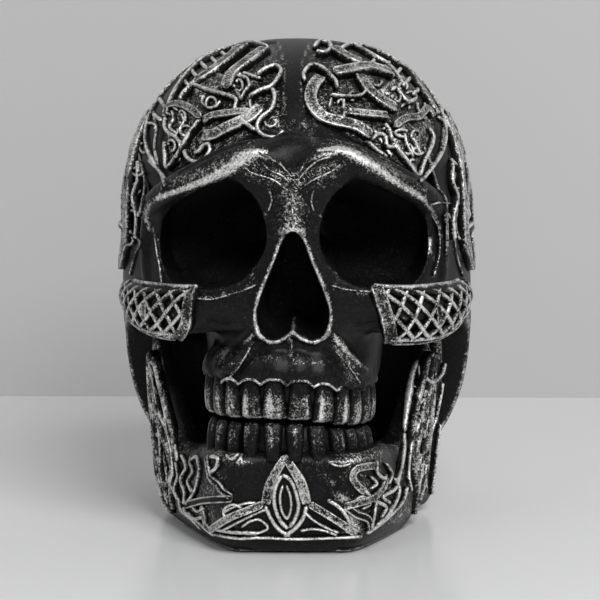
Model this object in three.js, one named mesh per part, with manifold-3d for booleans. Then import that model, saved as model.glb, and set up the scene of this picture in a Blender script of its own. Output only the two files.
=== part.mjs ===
// Skull ornament with strapwork relief. Millimetres, +Z up, the face looks along -Y.
// The origin is on the surface it stands on, below the middle of its bounding box.
import * as THREE from 'three';
import { mergeVertices } from 'three/addons/utils/BufferGeometryUtils.js';
import Module from 'manifold-3d';

const wasm = await Module();
wasm.setup();

// Driving dimensions
const skullHeight = 160;
const skullWidth = 116;
const skullLength = 150;
const clearance = 0.3;
const cutOverrun = 6;

// Brain case: half sizes are shares of the overall sizes, and the centre sits above and behind the face
const vaultShares = {
  centreBack: 0.04, centreUp: 0.575, front: 0.473, back: 0.46, top: 0.412, bottom: 0.57,
  roundTop: 2.3, roundBottom: 3.0,
};
const vaultSteps = { around: 28, along: 16 };

// Face features in real sizes
const orbit = { depth: 30, postThick: 7, wallThick: 8, wallDeep: 26 };
const nose = { depth: 26, lipThick: 2.4, bridge: 9 };
const brow = { thick: 11, tipThick: 6.5, glabellaTall: 24 };
const cheekbone = { tall: 14, thick: 8.5, archTall: 8.5, archThick: 5.5 };
const band = { wall: 1.8, seat: 0.5, rimShare: 0.07, openShare: 0.7 };
const bandCounts = { cells: 5, rows: 2 };
const bandSteps = { along: 5, around: 3 };
const tooth = { count: 12, width: 7.1, height: 12, thick: 5.2, gumBar: 5, barSetbackShare: 0.16 };
const jaw = { bodyThick: 10.5, ramusThick: 6.5, footBevel: 1.6, gumCover: 1.2 };
const strap = { width: 4.2, narrow: 2.8, wide: 6.5, rise: 1.6, shoulderShare: 0.72, step: 10, shortStep: 5 };
const base = { plateThick: 3.5, plateRim: 4.5, neckRise: 26 };
const pad = { diameter: 14, thick: 1.6, proud: 0.5 };

const halfWidth = skullWidth / 2;
const footLevel = pad.proud;
const vaultSeat = clearance * 1.6;
const jawSeat = clearance * 2.6;

// A place in shares of half the width, half the length and the height, measured from the origin
function place(across, back, up) {
  return new THREE.Vector3(across * halfWidth, back * skullLength / 2, up * skullHeight);
}

function smooth(from, to, value) {
  return THREE.MathUtils.smoothstep(value, from, to);
}

// Reads a table of rows [key, value, value, ...] at a key, with a smooth curve through the rows
function readTable(rows, key, column) {
  let high = rows.findIndex((row) => row[0] >= key);
  if (high < 0) high = rows.length - 1;
  if (high === 0) return rows[0][column];
  const low = high - 1;
  const before = rows[Math.max(low - 1, 0)];
  const after = rows[Math.min(high + 1, rows.length - 1)];
  const span = rows[high][0] - rows[low][0];
  const along = Math.min((key - rows[low][0]) / span, 1);
  const slopeIn = (rows[high][column] - before[column]) / (rows[high][0] - before[0]) * span;
  const slopeOut = (after[column] - rows[low][column]) / (after[0] - rows[low][0]) * span;
  const square = along * along;
  const cube = square * along;
  return (2 * cube - 3 * square + 1) * rows[low][column] + (cube - 2 * square + along) * slopeIn
    + (3 * square - 2 * cube) * rows[high][column] + (cube - square) * slopeOut;
}

// Closed meshes from rings of points

function meshFrom(points, triangles) {
  const geometry = new THREE.BufferGeometry();
  geometry.setAttribute('position', new THREE.Float32BufferAttribute(points.flatMap((p) => p.toArray()), 3));
  let volume = 0;
  for (let i = 0; i < triangles.length; i += 3) {
    const [a, b, c] = [points[triangles[i]], points[triangles[i + 1]], points[triangles[i + 2]]];
    volume += a.dot(new THREE.Vector3().crossVectors(b, c));
  }
  if (volume < 0) {
    for (let i = 0; i < triangles.length; i += 3) {
      [triangles[i + 1], triangles[i + 2]] = [triangles[i + 2], triangles[i + 1]];
    }
  }
  geometry.setIndex(triangles);
  return geometry;
}

// Triangles that close a ring, laid like a ladder between its first half and its second half
function ladder(count) {
  const rungs = [];
  let low = 0;
  let high = count - 1;
  while (high - low > 1) {
    rungs.push([low, low + 1, high]);
    low += 1;
    if (high - low > 1) {
      rungs.push([low, high - 1, high]);
      high -= 1;
    }
  }
  return rungs;
}

// Triangles that close a ring round a point in its middle, the ring's last entry
function fan(count) {
  return Array.from({ length: count }, (_, i) => [i, (i + 1) % count, count]);
}

// A skin over rings of points. Its ends are closed by a ladder or by a fan, or the last ring runs into the
// first.
function loft(rings, ends = 'ladder') {
  const sides = rings[0].length;
  const points = rings.flat();
  const triangles = [];
  const bands = ends === 'loop' ? rings.length : rings.length - 1;
  for (let r = 0; r < bands; r += 1) {
    const next = (r + 1) % rings.length;
    for (let s = 0; s < sides; s += 1) {
      const t = (s + 1) % sides;
      const corners = [r * sides + s, r * sides + t, next * sides + t, next * sides + s];
      triangles.push(corners[0], corners[1], corners[2], corners[0], corners[2], corners[3]);
    }
  }
  if (ends === 'loop') return meshFrom(points, triangles);
  for (const [ring, turned] of [[0, true], [rings.length - 1, false]]) {
    const names = rings[ring].map((_, s) => ring * sides + s);
    if (ends === 'fan') {
      const middle = new THREE.Vector3();
      rings[ring].forEach((p) => middle.addScaledVector(p, 1 / sides));
      names.push(points.push(middle) - 1);
    }
    for (const corners of ends === 'fan' ? fan(sides) : ladder(sides)) {
      if (turned) corners.reverse();
      triangles.push(...corners.map((corner) => names[corner]));
    }
  }
  return meshFrom(points, triangles);
}

function solid(geometry) {
  const bare = geometry.clone();
  bare.deleteAttribute('normal');
  bare.deleteAttribute('uv');
  const merged = mergeVertices(bare);
  return new wasm.Manifold(new wasm.Mesh({
    numProp: 3,
    vertProperties: new Float32Array(merged.attributes.position.array),
    triVerts: new Uint32Array(merged.index.array),
  }));
}

function joined(geometries) {
  return geometries.map(solid).reduce((whole, next) => whole.add(next));
}

function finished(whole) {
  const mesh = whole.getMesh();
  const geometry = new THREE.BufferGeometry();
  geometry.setAttribute('position', new THREE.BufferAttribute(new Float32Array(mesh.vertProperties), 3));
  geometry.setIndex(new THREE.BufferAttribute(new Uint32Array(mesh.triVerts), 1));
  geometry.computeVertexNormals();
  return geometry;
}

// A round bar along a path whose width and height change evenly through the given sizes
function taperedBar(path, sizes, steps, sides = 8, reference = new THREE.Vector3(0, 0, 1)) {
  const curve = new THREE.CatmullRomCurve3(path, false, 'centripetal');
  const rings = [];
  for (let i = 0; i <= steps; i += 1) {
    const along = i / steps;
    const centre = curve.getPoint(along);
    const forward = curve.getTangent(along);
    const side = new THREE.Vector3().crossVectors(forward, reference).normalize();
    const up = new THREE.Vector3().crossVectors(side, forward).normalize();
    const reach = along * (sizes.length - 1);
    const first = Math.min(Math.floor(reach), sizes.length - 2);
    const thick = THREE.MathUtils.lerp(sizes[first][0], sizes[first + 1][0], reach - first) / 2;
    const tall = THREE.MathUtils.lerp(sizes[first][1], sizes[first + 1][1], reach - first) / 2;
    const ring = [];
    for (let s = 0; s < sides; s += 1) {
      const turn = 2 * Math.PI * s / sides;
      ring.push(centre.clone()
        .addScaledVector(side, thick * Math.cos(turn))
        .addScaledVector(up, tall * Math.sin(turn)));
    }
    rings.push(ring);
  }
  return loft(rings);
}

// Brain case surface. A map point counts quarter turns away from straight ahead, across to the right and up,
// so 1 is the silhouette seen from the front. Lift moves the point off the surface along its normal.

const swellShares = [
  { towards: [0, -0.62, 0.78], spread: 0.42, amount: 0.022 },
  { towards: [0.82, -0.52, 0.02], spread: 0.3, amount: -0.035 },
  { towards: [0, 0.72, -0.69], spread: 0.5, amount: -0.07 },
  { towards: [0.72, 0.35, 0.6], spread: 0.45, amount: 0.015 },
  { towards: [0, 0.97, -0.2], spread: 0.4, amount: 0.03 },
  { towards: [0.5, 0.75, -0.55], spread: 0.35, amount: -0.03 },
];

function vaultFromUnit(unit) {
  const shares = vaultShares;
  const lean = smooth(-0.55, 0.2, unit.z);
  const power = THREE.MathUtils.lerp(shares.roundBottom, shares.roundTop, lean);
  const sum = Math.abs(unit.x) ** power + Math.abs(unit.y) ** power + Math.abs(unit.z) ** power;
  let scale = sum ** (-1 / power);
  for (const swell of swellShares) {
    const towards = new THREE.Vector3(...swell.towards).normalize();
    const aside = new THREE.Vector3(Math.abs(unit.x), unit.y, unit.z).distanceTo(towards) / swell.spread;
    scale *= 1 + swell.amount * Math.exp(-aside * aside);
  }
  return new THREE.Vector3(
    unit.x * scale * halfWidth,
    skullLength * (shares.centreBack + unit.y * scale * (unit.y < 0 ? shares.front : shares.back)),
    skullHeight * (shares.centreUp + unit.z * scale * (unit.z > 0 ? shares.top : shares.bottom)),
  );
}

function unitFromMap(across, up) {
  const turn = Math.hypot(across, up) * Math.PI / 2;
  const around = Math.atan2(up, across);
  const wide = Math.sin(turn);
  return new THREE.Vector3(wide * Math.cos(around), -Math.cos(turn), wide * Math.sin(around));
}

const probeShare = 0.004;

function vaultSurface(across, up, lift = 0) {
  const point = vaultFromUnit(unitFromMap(across, up));
  const acrossEdge = vaultFromUnit(unitFromMap(across + probeShare, up)).sub(point);
  const upEdge = vaultFromUnit(unitFromMap(across, up + probeShare)).sub(point);
  const normal = acrossEdge.cross(upEdge).normalize();
  return { point: point.addScaledVector(normal, lift), normal };
}

function vaultGeometry() {
  const geometry = new THREE.SphereGeometry(1, vaultSteps.around, vaultSteps.along);
  geometry.rotateX(Math.PI / 2);
  const position = geometry.attributes.position;
  for (let i = 0; i < position.count; i += 1) {
    const unit = new THREE.Vector3().fromBufferAttribute(position, i).normalize();
    position.setXYZ(i, ...vaultFromUnit(unit).toArray());
  }
  return geometry;
}

// Face block: rows of [height, half width, front] in shares, with a rounded plan at each height
const faceShares = [
  [0.322, 0.470, -0.835],
  [0.352, 0.485, -0.855],
  [0.410, 0.500, -0.850],
  [0.455, 0.540, -0.865],
  [0.520, 0.650, -0.862],
  [0.600, 0.715, -0.862],
  [0.670, 0.745, -0.872],
  [0.730, 0.740, -0.890],
  [0.775, 0.690, -0.850],
];
const faceBackShare = -0.30;
const faceRearShare = 0.4;
const facePlanShares = { low: 2.5, high: 2.1 };
const faceSteps = { up: 7, round: 20 };

function faceRow(heightShare) {
  const power = THREE.MathUtils.lerp(
    facePlanShares.low, facePlanShares.high, smooth(faceShares[1][0], faceShares[5][0], heightShare));
  return {
    halfWide: readTable(faceShares, heightShare, 1), front: readTable(faceShares, heightShare, 2), power,
  };
}

// The face's front at a place given in shares, moved out by a lift in millimetres
function faceFront(acrossShare, heightShare, lift = 0) {
  const row = faceRow(heightShare);
  const reach = Math.min(Math.abs(acrossShare) / row.halfWide, 0.985);
  const depth = (1 - reach ** row.power) ** (1 / row.power);
  const point = place(acrossShare, faceBackShare + (row.front - faceBackShare) * depth, heightShare);
  point.y -= lift;
  return point;
}

function faceGeometry() {
  const rings = [];
  const [bottom, top] = [faceShares[0][0], faceShares[faceShares.length - 1][0]];
  for (let i = 0; i <= faceSteps.up; i += 1) {
    const height = THREE.MathUtils.lerp(bottom, top, i / faceSteps.up);
    const row = faceRow(height);
    const ring = [];
    for (let s = 0; s < faceSteps.round; s += 1) {
      const turn = 2 * Math.PI * s / faceSteps.round;
      const [c, d] = [Math.cos(turn), Math.sin(turn)];
      const stretch = (Math.abs(c) ** row.power + Math.abs(d) ** row.power) ** (-1 / row.power);
      const depth = row.front - faceBackShare;
      const back = faceBackShare + d * stretch * depth * (d > 0 ? 1 : faceRearShare);
      ring.push(place(c * stretch * row.halfWide, back, height));
    }
    rings.push(ring);
  }
  return loft(rings);
}

// Outlines seen from the front, as shares [across, up], for the right-hand side
const orbitOutlineShares = [
  [0.145, 0.630], [0.160, 0.695], [0.215, 0.735], [0.300, 0.755], [0.420, 0.748], [0.560, 0.722],
  [0.670, 0.685], [0.708, 0.635], [0.700, 0.575], [0.650, 0.542], [0.530, 0.530], [0.380, 0.532],
  [0.260, 0.552], [0.175, 0.590],
];
const noseOutlineShares = [
  [0.000, 0.645], [0.045, 0.630], [0.095, 0.583], [0.150, 0.535], [0.190, 0.490], [0.188, 0.458],
  [0.150, 0.434], [0.090, 0.430], [0.030, 0.442], [0.000, 0.452],
];

function closedCurve(points, steps) {
  return new THREE.CatmullRomCurve3(points, true, 'centripetal').getPoints(steps).slice(0, -1);
}

function mirroredOutline(shares) {
  const left = shares.slice(1, -1).map(([across, up]) => [-across, up]).reverse();
  return [...shares, ...left];
}

// A pocket that narrows as it goes back from the face. Rows are [depth, scale, shift] as shares, from in
// front of the face to the pocket's floor.
function pocket(outline, depth, rows, shift) {
  const middle = new THREE.Vector3();
  outline.forEach((p) => middle.addScaledVector(p, 1 / outline.length));
  return loft(rows.map(([deepShare, scale, shiftShare]) => outline.map((p) => new THREE.Vector3(
    middle.x + (p.x - middle.x) * scale + shift.x * shiftShare,
    middle.y + depth * deepShare + (p.y - middle.y) * (1 - Math.max(deepShare, 0)),
    middle.z + (p.z - middle.z) * scale + shift.z * shiftShare,
  ))), 'fan');
}

const orbitRowShares = [[-1.4, 1.06, 0], [0, 1, 0], [0.3, 0.88, 0.25], [0.65, 0.7, 0.65], [1, 0.45, 1]];
const orbitShiftShares = { inward: 0.4, up: 0.03 };
const orbitSteps = 16;

function orbitPocket(side) {
  const points = orbitOutlineShares.map(([across, up]) => faceFront(side * across, up));
  const { inward, up: upward } = orbitShiftShares;
  const shift = new THREE.Vector3(-side * inward, 0, upward).multiplyScalar(orbit.depth);
  return pocket(closedCurve(points, orbitSteps), orbit.depth, orbitRowShares, shift);
}

const noseRowShares = [[-0.5, 1, 0], [0, 1, 0], [0.5, 0.93, 0.5], [1, 0.78, 1]];
const noseSteps = 16;

function noseOutline(lift) {
  const points = mirroredOutline(noseOutlineShares).map(([across, up]) => faceFront(across, up, lift));
  return closedCurve(points, noseSteps);
}

function nosePocket() {
  const shift = new THREE.Vector3(0, 0, nose.depth * orbitShiftShares.up);
  return pocket(noseOutline(0), nose.depth, noseRowShares, shift);
}

// The raised lip round the nose opening
function noseLip() {
  const path = noseOutline(nose.lipThick * 0.15);
  const middle = new THREE.Vector3();
  path.forEach((p) => middle.addScaledVector(p, 1 / path.length));
  const half = nose.lipThick / 2;
  const rings = path.map((p) => {
    const outward = new THREE.Vector3(p.x - middle.x, 0, p.z - middle.z).normalize();
    const centre = p.clone().addScaledVector(outward, half * 0.6);
    const ring = [];
    for (let s = 0; s < 4; s += 1) {
      const turn = Math.PI * s / 2;
      ring.push(centre.clone().addScaledVector(outward, half * Math.cos(turn))
        .add(new THREE.Vector3(0, half * 1.6 * Math.sin(turn), 0)));
    }
    return ring;
  });
  return loft(rings, 'loop');
}

// Nasal bones: a roof that runs from between the brows to the top of the nose opening
const nasalRoofShares = [[0, -0.80, 0.745], [0, -0.845, 0.70], [0, -0.875, 0.665], [0, -0.895, 0.635]];

function nasalRoof() {
  const path = nasalRoofShares.map((row) => place(...row));
  const { bridge } = nose;
  return taperedBar(path, [[bridge * 1.3, bridge], [bridge, bridge * 0.8], [bridge * 1.1, bridge * 0.6]], 5);
}

// The swelling between the brows
const glabellaShares = [[-0.22, -0.80, 0.765], [0, -0.815, 0.77], [0.22, -0.80, 0.765]];

function glabella() {
  const path = glabellaShares.map((row) => place(...row));
  const [end, middle] = [[brow.thick, brow.thick], [brow.thick, brow.glabellaTall]];
  return taperedBar(path, [end, middle, end], 4);
}

const browShares = [
  [0.02, -0.82, 0.765], [0.17, -0.835, 0.793], [0.33, -0.81, 0.783], [0.50, -0.755, 0.755],
  [0.66, -0.66, 0.722], [0.765, -0.55, 0.688], [0.80, -0.47, 0.655],
];

function browRidge(side) {
  const path = browShares.map(([across, back, up]) => place(side * across, back, up));
  const { thick, tipThick } = brow;
  const sizes = [[thick, thick * 0.8], [thick, thick], [thick, thick * 0.8], [tipThick, tipThick]];
  return taperedBar(path, sizes, 7);
}

const cheekShares = [
  [0.30, -0.70, 0.485], [0.47, -0.715, 0.475], [0.66, -0.62, 0.468], [0.83, -0.42, 0.466],
  [0.915, -0.18, 0.470], [0.925, 0.06, 0.478], [0.86, 0.25, 0.488],
];

// The upright edge under the brow's outer corner, down to the cheekbone
const postShares = [[0.775, -0.53, 0.68], [0.795, -0.485, 0.62], [0.79, -0.50, 0.55], [0.75, -0.55, 0.48]];

function orbitPost(side) {
  const path = postShares.map(([across, back, up]) => place(side * across, back, up));
  const { postThick } = orbit;
  const size = [postThick, postThick];
  return taperedBar(path, [size, size], 4, 6, new THREE.Vector3(0, 1, 0));
}

// The side wall of the eye socket, between that edge and the brain case
const socketWallShares = [
  [0.745, -0.36, 0.715], [0.765, -0.34, 0.63], [0.765, -0.34, 0.54], [0.78, -0.36, 0.485],
];

function socketWall(side) {
  const path = socketWallShares.map(([across, back, up]) => place(side * across, back, up));
  const size = [orbit.wallThick, orbit.wallDeep];
  return taperedBar(path, [size, size], 3, 8, new THREE.Vector3(0, 1, 0));
}

function cheekPath(side) {
  const path = cheekShares.map(([across, back, up]) => place(side * across, back, up));
  return new THREE.CatmullRomCurve3(path, false, 'centripetal');
}

function cheekSize(along) {
  const thin = smooth(0.35, 0.8, along);
  return {
    thick: THREE.MathUtils.lerp(cheekbone.thick, cheekbone.archThick, thin),
    tall: THREE.MathUtils.lerp(cheekbone.tall, cheekbone.archTall, thin),
  };
}

function cheekGeometry(side) {
  const path = cheekShares.map(([across, back, up]) => place(side * across, back, up));
  const sizes = [0, 0.25, 0.5, 0.75, 1].map((along) => {
    const size = cheekSize(along);
    return [size.thick, size.tall];
  });
  return taperedBar(path, sizes, 8);
}

// Teeth: a row of crowns on an arch, on a gum bar behind them

const arch = {
  halfWideShare: 0.49, frontShare: -0.89, backShare: -0.36, squarenessShare: 2.25, seatTurnsShare: 1.25,
};

function archPoint(turn, inset, level) {
  const [c, s] = [Math.sin(turn), Math.cos(turn)];
  const power = arch.squarenessShare;
  const stretch = (Math.abs(c) ** power + Math.abs(s) ** power) ** (-1 / power);
  const deep = (arch.frontShare - arch.backShare) * skullLength / 2;
  return new THREE.Vector3(
    c * stretch * (arch.halfWideShare * halfWidth - inset),
    arch.backShare * skullLength / 2 + s * stretch * (deep + inset),
    level,
  );
}

// Turns at which the crowns stand, equally far apart along the arch
function crownTurns() {
  const samples = 200;
  const turns = [];
  let travelled = 0;
  let last = archPoint(0, 0, 0);
  let wanted = tooth.width / 2;
  for (let i = 1; i <= samples && turns.length < tooth.count / 2; i += 1) {
    const turn = i / samples * Math.PI / 2 * 1.08;
    const point = archPoint(turn, 0, 0);
    travelled += point.distanceTo(last);
    last = point;
    if (travelled >= wanted) {
      turns.push(turn);
      wanted += tooth.width;
    }
  }
  return turns.flatMap((turn) => [turn, -turn]);
}

const crownShares = {
  upper: [[0, 0.84, 0.95], [0.6, 0.96, 0.9], [1, 0.86, 0.55]],
  lower: [[0, 0.62, 0.9], [0.6, 0.84, 0.9], [1, 0.84, 0.55]],
};

const crownSteps = 6;
const crownFlatShare = 1 / Math.sin(2 * Math.PI / crownSteps);

function crown(turn, row) {
  const inset = tooth.thick * 0.35;
  const centre = archPoint(turn, inset, row.rootLevel);
  const edge = archPoint(turn, inset + row.lean, row.edgeLevel);
  const along = archPoint(turn + 0.01, inset, row.rootLevel)
    .sub(archPoint(turn - 0.01, inset, row.rootLevel)).normalize();
  const outward = new THREE.Vector3().crossVectors(along, new THREE.Vector3(0, 0, 1)).normalize();
  const rings = crownShares[row.kind].map(([share, wide, thick]) => {
    const middle = centre.clone().lerp(edge, share);
    const ring = [];
    for (let s = 0; s < crownSteps; s += 1) {
      const angle = 2 * Math.PI * s / crownSteps;
      ring.push(middle.clone()
        .addScaledVector(along, tooth.width * wide / 2 * Math.cos(angle))
        .addScaledVector(outward, tooth.thick * thick / 2 * Math.sin(angle) * crownFlatShare));
    }
    return ring;
  });
  return loft(rings);
}

const archSteps = 8;

// A bar along the arch between two insets and two levels
function archBar(insetOut, insetIn, low, high, endTurn) {
  const rings = [];
  for (let i = 0; i <= archSteps; i += 1) {
    const turn = THREE.MathUtils.lerp(-endTurn, endTurn, i / archSteps);
    rings.push([
      archPoint(turn, insetOut, low), archPoint(turn, insetOut, high),
      archPoint(turn, insetIn, high), archPoint(turn, insetIn, low),
    ]);
  }
  return loft(rings);
}

const bitePartingShare = 0.2725;
const upperRow = {
  kind: 'upper',
  rootLevel: bitePartingShare * skullHeight + tooth.height,
  edgeLevel: bitePartingShare * skullHeight + clearance / 2,
  lean: 0,
};
const lowerRow = {
  kind: 'lower',
  rootLevel: bitePartingShare * skullHeight - tooth.height,
  edgeLevel: bitePartingShare * skullHeight - clearance / 2,
  lean: 0.8,
};

function toothRow(row) {
  const towardsRoot = Math.sign(row.rootLevel - row.edgeLevel);
  const barEdge = row.edgeLevel + towardsRoot * tooth.height * tooth.barSetbackShare;
  const barRoot = row.rootLevel - towardsRoot * tooth.height * tooth.barSetbackShare;
  const crowns = crownTurns().map((turn) => crown(turn, row));
  const [low, high] = [Math.min(barEdge, barRoot), Math.max(barEdge, barRoot)];
  const lastTurn = Math.max(...crownTurns());
  const bar = archBar(tooth.thick * 0.4, tooth.thick * 0.5 + tooth.gumBar, low, high, lastTurn);
  return joined([bar, ...crowns]);
}

// The groove in the gum that a row stands in, open to the front and at its ends
function toothSeat(row) {
  const towardsRoot = Math.sign(row.rootLevel - row.edgeLevel);
  const deep = row.rootLevel + towardsRoot * clearance;
  const past = row.edgeLevel - towardsRoot * cutOverrun;
  return solid(archBar(-cutOverrun, tooth.thick * 0.5 + tooth.gumBar + clearance,
    Math.min(deep, past), Math.max(deep, past), Math.PI / 2 * arch.seatTurnsShare));
}

// Straps: flat ribbons with bevelled edges, laid on a surface given as a function of two map values

function ribbon(surface, mapPoints, width, seat, stepLength, endScale = 0.75) {
  const rough = new THREE.CatmullRomCurve3(
    mapPoints.map(([across, up]) => surface(across, up, seat).point), false, 'centripetal');
  const steps = Math.max(mapPoints.length - 1, Math.round(rough.getLength() / stepLength));
  const flat = new THREE.CatmullRomCurve3(
    mapPoints.map(([across, up]) => new THREE.Vector3(across, up, 0)), false, 'centripetal');
  const places = [];
  for (let i = 0; i <= steps; i += 1) places.push(flat.getPoint(i / steps));
  const spots = places.map((p) => surface(p.x, p.y, seat));
  const rings = spots.map(({ point, normal }, i) => {
    const before = spots[Math.max(i - 1, 0)].point;
    const after = spots[Math.min(i + 1, steps)].point;
    const side = after.clone().sub(before).cross(normal).normalize();
    const half = width / 2 * (i === 0 || i === steps ? endScale : 1);
    const corner = (acrossPart, lift) => point.clone()
      .addScaledVector(side, acrossPart * half).addScaledVector(normal, lift);
    const shoulder = strap.shoulderShare;
    return [corner(-1, 0), corner(1, 0), corner(shoulder, strap.rise), corner(-shoulder, strap.rise)];
  });
  return loft(rings);
}

function strapwork(surface, straps, seat, stepLength) {
  return joined(straps.map(({ path, width }) => ribbon(surface, path, width, seat, stepLength)));
}

const foreheadShares = [
  { width: 'wide', path: [
    [0.080, 0.90], [0.070, 0.64], [0.062, 0.52], [0.115, 0.425], [0.260, 0.385], [0.400, 0.330],
  ] },
  { width: 'narrow', path: [
    [0.062, 0.60], [0.085, 0.665], [0.150, 0.645], [0.170, 0.560], [0.110, 0.520],
  ] },
  { path: [[0.110, 0.80], [0.200, 0.700], [0.330, 0.655], [0.440, 0.640]], width: 'wide' },
  { path: [[0.150, 0.470], [0.250, 0.455], [0.350, 0.445], [0.440, 0.470]], width: 'width' },
  { width: 'width', path: [
    [0.240, 0.380], [0.235, 0.450], [0.250, 0.560], [0.300, 0.680], [0.330, 0.800],
  ] },
  { width: 'width', path: [
    [0.150, 0.560], [0.250, 0.540], [0.340, 0.500], [0.400, 0.420], [0.390, 0.330],
  ] },
  { width: 'width', path: [
    [0.400, 0.320], [0.450, 0.290], [0.475, 0.340], [0.450, 0.410], [0.400, 0.470],
  ] },
  { width: 'width', path: [
    [0.080, 0.890], [0.180, 0.900], [0.300, 0.840], [0.400, 0.740], [0.470, 0.620],
  ] },
];
const templeShares = [
  { width: 'narrow', path: [
    [0.535, 0.275], [0.605, 0.360], [0.665, 0.470], [0.690, 0.600], [0.650, 0.740], [0.560, 0.850],
  ] },
  { width: 'width', path: [
    [0.760, 0.020], [0.750, 0.150], [0.730, 0.290], [0.780, 0.420], [0.860, 0.480], [0.950, 0.420],
  ] },
  { width: 'width', path: [
    [0.850, -0.060], [0.780, 0.080], [0.820, 0.220], [0.900, 0.300], [0.980, 0.360], [1.060, 0.330],
  ] },
  { width: 'width', path: [
    [0.760, 0.020], [0.850, -0.060], [0.960, -0.080], [1.080, -0.040], [1.160, 0.060], [1.180, 0.200],
  ] },
  { width: 'width', path: [
    [1.180, 0.200], [1.140, 0.340], [1.040, 0.460], [0.900, 0.540], [0.780, 0.560], [0.730, 0.440],
    [0.730, 0.290],
  ] },
  { width: 'width', path: [
    [0.900, 0.540], [0.840, 0.400], [0.900, 0.260], [1.000, 0.180], [1.080, 0.060], [1.080, -0.040],
  ] },
  { width: 'narrow', path: [
    [0.780, 0.080], [0.900, 0.090], [1.000, 0.060], [1.100, 0.120], [1.180, 0.200],
  ] },
  { path: [[0.688, 0.560], [0.740, 0.550], [0.800, 0.565]], width: 'width' },
];

function sidedStraps(shares, side) {
  return shares.map(({ path, width }) => ({
    path: path.map(([across, up]) => [side * across, up]),
    width: strap[width],
  }));
}

// Lower jaw: a bent wall. Rows are [along, across, back, top, foot] in shares, from the chin to the condyle.
const jawShares = [
  [0.00, 0.000, -0.845, 0.207, 0.0],
  [0.08, 0.170, -0.845, 0.206, 0.0],
  [0.17, 0.340, -0.835, 0.203, 0.0],
  [0.27, 0.495, -0.620, 0.196, 0.0],
  [0.38, 0.590, -0.440, 0.184, 0.0],
  [0.47, 0.665, -0.300, 0.190, 0.001],
  [0.55, 0.720, -0.210, 0.280, 0.003],
  [0.62, 0.755, -0.140, 0.372, 0.006],
  [0.70, 0.775, -0.070, 0.366, 0.008],
  [0.80, 0.785, 0.020, 0.325, 0.010],
  [0.90, 0.785, 0.110, 0.375, 0.020],
  [1.00, 0.780, 0.180, 0.420, 0.060],
];
const jawSteps = 30;
const jawBulge = { chinOut: 2.2, chinTopIn: 1.6, ramusTopOut: 4.2 };

function jawRow(along) {
  const share = Math.abs(along);
  const side = Math.sign(along) || 1;
  const spot = (s) => place(side * readTable(jawShares, s, 1), readTable(jawShares, s, 2), 0);
  const point = spot(share);
  const ahead = spot(Math.min(share + 0.01, 1)).sub(spot(Math.max(share - 0.01, 0)));
  if (share < 0.01) ahead.set(1, 0, 0);
  const outward = new THREE.Vector3(Math.abs(ahead.y), -Math.abs(ahead.x), 0).normalize();
  if (ahead.y < 0) outward.set(0, -1, 0);
  outward.x *= side;
  const branchTop = Math.min(readTable(jawShares, share, 3) * skullHeight, roofLevel(point.y) - clearance);
  return {
    point, outward,
    top: THREE.MathUtils.lerp(lowerRow.rootLevel + jaw.gumCover, branchTop, smooth(0.22, 0.4, share)),
    foot: Math.max(readTable(jawShares, share, 4) * skullHeight, 0) + footLevel,
    thick: THREE.MathUtils.lerp(jaw.bodyThick, jaw.ramusThick, smooth(0.35, 0.6, share)),
  };
}

// The jaw's outer face: along runs from -1 at the left condyle to 1 at the right one, up from 0 to 1
function jawSurface(along, up, lift = 0) {
  const row = jawRow(along);
  const ramus = smooth(0.4, 0.65, Math.abs(along));
  const chin = jawBulge.chinOut * Math.sin(Math.PI * Math.min(up * 1.25, 1)) - jawBulge.chinTopIn * up * up;
  const bulge = THREE.MathUtils.lerp(chin, jawBulge.ramusTopOut * up, ramus);
  const point = row.point.clone().addScaledVector(row.outward, bulge + lift);
  point.z = THREE.MathUtils.lerp(row.foot, row.top, up);
  return { point, normal: row.outward };
}

function jawGeometry() {
  const rings = [];
  for (let i = 0; i <= jawSteps; i += 1) {
    const along = THREE.MathUtils.lerp(-1, 1, i / jawSteps);
    const row = jawRow(along);
    const outer = [0.08, 0.3, 0.55, 0.8, 0.97].map((up) => jawSurface(along, up).point);
    const foot = jawSurface(along, 0).point.addScaledVector(row.outward, -jaw.footBevel);
    const top = jawSurface(along, 1).point.addScaledVector(row.outward, -row.thick * 0.25);
    const inner = [0.97, 0.5, 0.08].map((up) => {
      const p = jawSurface(along, up).point.addScaledVector(row.outward, -row.thick);
      return p;
    });
    const heel = jawSurface(along, 0).point.addScaledVector(row.outward, -row.thick + jaw.footBevel);
    rings.push([foot, ...outer, top, ...inner, heel]);
  }
  return loft(rings);
}

const chinArchShares = [
  { path: [[-0.225, 0.19], [-0.115, 0.40], [-0.082, 0.62], [-0.050, 0.80], [0, 0.92]], width: 'narrow' },
  { path: [[0.225, 0.19], [0.115, 0.40], [0.082, 0.62], [0.050, 0.80], [0, 0.92]], width: 'narrow' },
  { path: [[0, 0.86], [-0.045, 0.62], [-0.035, 0.42], [0, 0.22], [0.025, 0.13]], width: 'narrow' },
  { path: [[0, 0.86], [0.045, 0.62], [0.035, 0.42], [0, 0.22], [-0.025, 0.13]], width: 'narrow' },
  { path: [[-0.240, 0.15], [-0.120, 0.13], [0, 0.13], [0.120, 0.13], [0.240, 0.15]], width: 'narrow' },
];
const jawKnotShares = [
  { width: 'narrow', path: [
    [0.285, 0.18], [0.300, 0.45], [0.335, 0.68], [0.385, 0.80], [0.420, 0.66], [0.395, 0.48],
  ] },
  { path: [[0.285, 0.60], [0.320, 0.78], [0.360, 0.62], [0.400, 0.42], [0.440, 0.28]], width: 'narrow' },
  { path: [[0.290, 0.34], [0.345, 0.44], [0.400, 0.48], [0.440, 0.60], [0.445, 0.80]], width: 'narrow' },
  { path: [[0.285, 0.18], [0.340, 0.20], [0.400, 0.22], [0.460, 0.24]], width: 'narrow' },
];
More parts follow.
